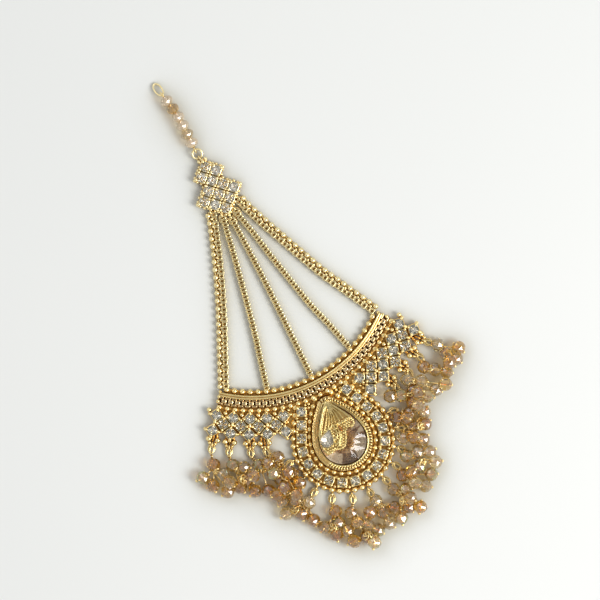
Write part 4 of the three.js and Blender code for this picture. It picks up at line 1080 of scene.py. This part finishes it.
def leaf():
    f = Form()
    edge = smooth_line(np.array(LEAF_EDGE + LEAF_EDGE[:1], float), pitch=0.16)[:-1]
    step = 0.13
    xs = np.arange(-7.8, 7.2, step)
    ys = np.arange(-2.9, 15.6, step)
    X, Y = np.meshgrid(xs, ys)
    keep = inside(X, Y, edge)
    hole = drop_spoke(SMALL["r"] + 0.42, SMALL["taper"], SMALL["x"], SMALL["y"], SMALL["lean"])
    ring = np.array([hole(a, 1.0) for a in np.linspace(0, 2 * math.pi, 181)[:-1]])
    keep &= ~inside(X, Y, ring)
    for cx, cy, hl, hw, deg in LEAF_HOLES:
        if hl:
            c, s = math.cos(math.radians(deg)), math.sin(math.radians(deg))
            u, v = (X - cx) * c + (Y - cy) * s, -(X - cx) * s + (Y - cy) * c
            keep &= (u / hl) ** 2 + (v / hw) ** 2 > 1
    # height over the stone's dome
    h = np.full(X.shape, 0.46)
    d_edge, _ = polyline_distance(X, Y, np.vstack([edge, edge[:1]]))
    h -= 0.08 * np.exp(-((d_edge / 0.25) ** 2))
    for line, half, high, grain in LEAF_LINES:
        d, along = polyline_distance(X, Y, line)
        rise = high * np.sqrt(np.clip(1 - (d / half) ** 2, 0, 1))
        if grain:
            rise = rise * (0.45 + 0.55 * np.abs(np.sin(math.pi * along / grain)))
        h = np.maximum(h, 0.42 + 1.6 * rise)
    # granules between the lines of the lower part
    gy = np.round(Y / 0.84)
    gx = np.round(X / 0.96 - 0.5 * (gy % 2)) + 0.5 * (gy % 2)
    grains = np.sqrt(np.clip(1 - (np.hypot(X - gx * 0.96, Y - gy * 0.84) / 0.4) ** 2, 0, 1))
    h = np.maximum(h, 0.42 + 0.52 * grains * np.clip((6.9 - Y) / 0.5, 0, 1))
    d, along = polyline_distance(X, Y, np.vstack([ring, ring[:1]]))
    h = np.maximum(h, 0.6 + 0.4 * np.sqrt(np.clip(1 - ((d - 0.2) / 0.26) ** 2, 0, 1)))
    # painted shade: the low ground takes darker materials, the darkest in the lower part and towards the left
    deep = np.where(h < 0.64, np.where((Y < 7.2) | (X < -0.3 - 0.48 * (12.0 - Y)), 1, 2), 0)
    h = np.minimum(h, 1.18) + 0.45 * np.clip((Y - 12.0) / 3.0, 0, 1)
    base = dome_z(X, Y)
    index = -np.ones(X.shape, int)
    index[keep] = np.arange(keep.sum())
    # rows of cells whose four corners are kept
    a, b, c, d4 = index[:-1, :-1], index[:-1, 1:], index[1:, 1:], index[1:, :-1]
    full = (a >= 0) & (b >= 0) & (c >= 0) & (d4 >= 0)
    quads = np.stack([a[full], b[full], c[full], d4[full]], 1)
    # the outer corners move to the true outline
    P = np.column_stack([X[keep], Y[keep]])
    used = np.zeros(len(P), bool)
    used[quads.ravel()] = True
    edges = {}
    for q in quads.tolist():
        for i in range(4):
            e = (q[i], q[(i + 1) % 4])
            if (e[1], e[0]) in edges:
                edges.pop((e[1], e[0]))
            else:
                edges[e] = True
    rim = set(i for e in edges for i in e)
    lines = [np.vstack([edge, edge[:1]]), np.vstack([ring, ring[:1]])]
    for i in rim:
        best = None
        for line in lines:
            seg = line[1:] - line[:-1]
            t = np.clip(((P[i] - line[:-1]) * seg).sum(1) / (seg**2).sum(1), 0, 1)
            q = line[:-1] + t[:, None] * seg
            dd = np.hypot(*(P[i] - q).T)
            k = int(np.argmin(dd))
            if best is None or dd[k] < best[0]:
                best = (dd[k], q[k])
        if best[0] < 0.2:
            P[i] = best[1]
    z0 = dome_z(P[:, 0], P[:, 1])
    top = np.column_stack([P, z0 + h[keep]])
    low = np.column_stack([P, z0 + 0.3])
    m = len(P)
    faces = quads.tolist()
    faces += [[i + m for i in q[::-1]] for q in quads.tolist()]
    walls = [[e[1], e[0], e[0] + m, e[1] + m] for e in edges]
    f.put(np.vstack([top, low]), faces + walls, 0, True)
    # painted shade: a face on the low ground takes the darker material
    dark = deep[keep]
    for i, q in enumerate(quads.tolist()):
        f.m[i] = int(dark[q].max()) if (dark[q] > 0).sum() >= 3 else 0
    ob = f.make("leaf_overlay", [LEAFY, LEAF_DEEP, LEAF_MID], ["leaf"])
    bm = bmesh.new()
    bm.from_mesh(ob.data)
    bmesh.ops.delete(bm, geom=[v for v in bm.verts if not v.link_faces], context="VERTS")
    bm.to_mesh(ob.data)
    bm.free()
    return ob


def on_table(p, r):
    return p3(p[0], p[1], max(p[2], r + 0.02))


TANGLES = {  # more wire where a bunch has it: x, y, height
    "drop_ring_3": (-24.4, -13.6, 3.2), "drop_ring_4": (-15.6, -24.6, 3.4), "drop_ring_5": (-6.6, -32.2, 4.2), "drop_ring_7": (9.3, -27.0, 4.4),
    "drop_ring_9": (20.7, -18.7, 3.6), "drop_ring_10": (25.6, -7.4, 4.2), "drop_left_2": (-36.2, 3.6, 4.0), "drop_left_4": (-22.8, -2.6, 4.2),
}


def tangle(f, at, heading, size=1.0):
    """Loops of wire where pins meet."""
    for j in range(5):
        d = toward(heading + 47 * j)
        up = unit(p3(-d[1] * (0.4 + 0.25 * j), d[0] * 0.9, 1.0))
        c = at + p3(0, 0, 0.22 * j) + toward(heading + 97 * j) * 0.35 * size
        f.oval(c - d * 1.05 * size, c + d * 1.05 * size, 0.66 * size, 0.22, 0, 20, 6, up=up)


def drops():
    pick = np.random.RandomState(5)
    for index, (name, seat, neck, knot, beads) in enumerate(DROPS):
        f = Form()

        # painted light: beads right of x = 15 are more often given the paler glasses, as the light falls from the
        # right; otherwise the glass is picked at random
        def random_glass_paler_to_right(x):
            share = (1.6, 1.7, 1.1, 1.5) if x > 15 else (2.6, 2.0, 1.0, 0.7)
            return 1 + int(pick.choice(4, p=np.array(share) / sum(share)))

        ring = name.startswith("drop_ring")
        if ring:
            out = toward(seat)
            near = p3(*MEDALLION, LUG["z"]) + out * (RING["outer"][0] + BALL_R + LUG["out"])
        else:
            out = p3(math.sin(math.radians(seat)), -math.cos(math.radians(seat)))
            near = on_arc(TRIO["lug"], seat, LUG["z"])
        first, tie = p3(*neck), p3(*knot)
        lie = first - near
        lie[2] = 0
        lie = unit(unit(lie) + out * 1.8)
        far = near + lie * LINK["length"]
        root = first + (tie - first) * 0.4
        first[2] = max(first[2], 2.42)
        # a long link with a second one inside it
        f.oval(near, far, LINK["half"] * 0.82, 0.33, 0, 30, 8)
        f.oval(near + lie * 0.5 + p3(0, 0, 0.45), far + lie * 0.35 + p3(0, 0, 0.45), LINK["half"] * 0.5, 0.27, 0, 26, 8)
        axis = unit(first - far)
        f.rondelle(first, axis, glass=random_glass_paler_to_right(first[0]), turn=0.31 * index)
        f.tube([far, first, root], WIRE["pin"], 0, 8)
        f.coil(far + axis * 0.15, first - axis * 1.55, 0.46, 0.2, 2.5)
        f.ball(first + axis * 1.8, 0.42, 0, 10, 7)
        tangle(f, tie + p3(0, 0, 0.4), 31 * index)
        if name in TANGLES:
            tangle(f, p3(*TANGLES[name]), 31 * index + 17, 1.25)
        for k, (reach, turn, height, *aim) in enumerate(beads):
            d = toward(turn)
            centre = p3(tie[0] + reach * d[0], tie[1] + reach * d[1], max(height, 2.42))
            pin = centre - root
            shade = random_glass_paler_to_right(centre[0])
            if not aim:
                w = unit(pin)
                f.rondelle(centre, w, glass=shade, turn=0.17 * k + 0.11 * index)
                f.tube([root, centre + w * 1.8], 0.24, 0, 8)
                f.ball(on_table(centre + w * 2.15, 0.5), 0.5, 0, 12, 8)
                back = centre - w * 1.7
                if np.linalg.norm(pin) > 2.6:
                    f.coil(back - w * min(0.8, np.linalg.norm(pin) - 1.7), back, 0.4, 0.17, 2)
            else:
                w = toward(aim[0])
                f.rondelle(centre, w, glass=shade, turn=0.17 * k + 0.11 * index)
                f.tube([root, centre], 0.2, 0, 8)
                f.tube([centre - w * 1.9, centre + w * 1.9], 0.22, 0, 8)
                f.ball(on_table(centre - w * 2.15, 0.46), 0.46, 0, 12, 8)
                f.ball(on_table(centre + w * 2.3, 0.56), 0.56, 0, 14, 9)
        f.make("bunch_" + name[5:], [GOLD, *BEADS], [name])


hook_eye()
jump_ring()
strand()
crest()
chains()
frame_piece()
bezel()
drop_stone()
small_stone()
leaf()
drops()

# ----------------------------------------------------------------------------------------------------------------
# Floor, light and camera
# ----------------------------------------------------------------------------------------------------------------
scene = bpy.context.scene
floor_nodes = Nodes("floor_card")
card = floor_nodes.ramp(floor_nodes.noise(3.0, 2.0), [(0.3, (0.735, 0.75, 0.745)), (0.7, (0.755, 0.768, 0.763))])
# the card's colour is darkened by ambient occlusion where the jewel closes it in: painted shadow
painted_shadow = floor_nodes.ramp(floor_nodes.hollow(0.014, 12), [(0.25, (0.70, 0.665, 0.58)), (0.86, (0.85, 0.845, 0.81)), (0.98, (1.0, 1.0, 1.0))])
floor_nodes.shade(
    Base_Color=floor_nodes.mix("MULTIPLY", 1.0, card, painted_shadow),
    Roughness=floor_nodes.spread(floor_nodes.noise(900, 3.0), 0.55, 0.7),
    Normal=floor_nodes.bump(floor_nodes.noise(1400, 4.0), 0.04, 0.00003),
)
me = bpy.data.meshes.new("floor")
me.from_pydata([(-3, -3, -0.00002), (3, -3, -0.00002), (3, 3, -0.00002), (-3, 3, -0.00002)], [], [(0, 1, 2, 3)])
me.materials.append(floor_nodes.mat)
floor = bpy.data.objects.new("floor", me)
scene.collection.objects.link(floor)

CENTRE = np.array([0.008195, -0.000695, 0.003])
RIGHT = np.array([0.8941, -0.4478, 0.0])
UP = np.array([0.4478, 0.8941, 0.0])


def lamp(name, right, up, height, size, watts, colour=(1, 1, 1)):
    data = bpy.data.lights.new(name, "AREA")
    data.shape = "RECTANGLE"
    data.size, data.size_y = size
    data.energy = watts
    data.color = colour
    ob = bpy.data.objects.new(name, data)
    at = CENTRE + RIGHT * right + UP * up + np.array([0, 0, height])
    ob.location = at
    ob.rotation_mode = "QUATERNION"
    from mathutils import Vector

    ob.rotation_quaternion = Vector(at - CENTRE).to_track_quat("Z", "Y")
    scene.collection.objects.link(ob)


lamp("key", 0.72, -0.24, 0.72, (0.5, 0.5), 8.6, (1.0, 0.985, 0.955))
lamp("fill", -0.55, 0.5, 0.8, (0.5, 0.5), 1.0, (0.96, 0.98, 1.0))

world = bpy.data.worlds.new("studio")
scene.world = world
world.use_nodes = True
wt = world.node_tree
wt.nodes.clear()
w_out = wt.nodes.new("ShaderNodeOutputWorld")
w_bg = wt.nodes.new("ShaderNodeBackground")
w_cam = wt.nodes.new("ShaderNodeBackground")
w_mix = wt.nodes.new("ShaderNodeMixShader")
w_path = wt.nodes.new("ShaderNodeLightPath")
w_coord = wt.nodes.new("ShaderNodeTexCoord")
w_sep = wt.nodes.new("ShaderNodeSeparateXYZ")
w_ramp = wt.nodes.new("ShaderNodeValToRGB")
wt.links.new(w_coord.outputs["Generated"], w_sep.inputs[0])
wt.links.new(w_sep.outputs["Z"], w_ramp.inputs["Fac"])
stops = [(0.0, (0.56, 0.55, 0.525)), (0.3, (0.60, 0.595, 0.58)), (0.6, (0.63, 0.63, 0.62)), (0.84, (0.68, 0.68, 0.675)), (0.9, (0.32, 0.32, 0.32)), (1.0, (0.20, 0.20, 0.20))]
e = w_ramp.color_ramp.elements
while len(e) < len(stops):
    e.new(0.5)
for one, (at, colour) in zip(e, stops):
    one.position, one.color = at, (*colour, 1.0)
wt.links.new(w_ramp.outputs["Color"], w_bg.inputs["Color"])
w_bg.inputs["Strength"].default_value = 1.15
w_cam.inputs["Color"].default_value = (0.86, 0.865, 0.86, 1)
w_cam.inputs["Strength"].default_value = 1.0
wt.links.new(w_path.outputs["Is Camera Ray"], w_mix.inputs[0])
wt.links.new(w_bg.outputs[0], w_mix.inputs[1])
wt.links.new(w_cam.outputs[0], w_mix.inputs[2])
wt.links.new(w_mix.outputs[0], w_out.inputs["Surface"])

cam_data = bpy.data.cameras.new("camera")
cam_data.sensor_width = 36.0
cam_data.lens = 211.76
cam = bpy.data.objects.new("camera", cam_data)
cam.location = (CENTRE[0], CENTRE[1], 1.203)
cam.rotation_euler = (0.0, 0.0, math.radians(-26.6))
cam_data.clip_start, cam_data.clip_end = 0.05, 10.0
scene.collection.objects.link(cam)
scene.camera = cam
scene.view_settings.view_transform = "Standard"
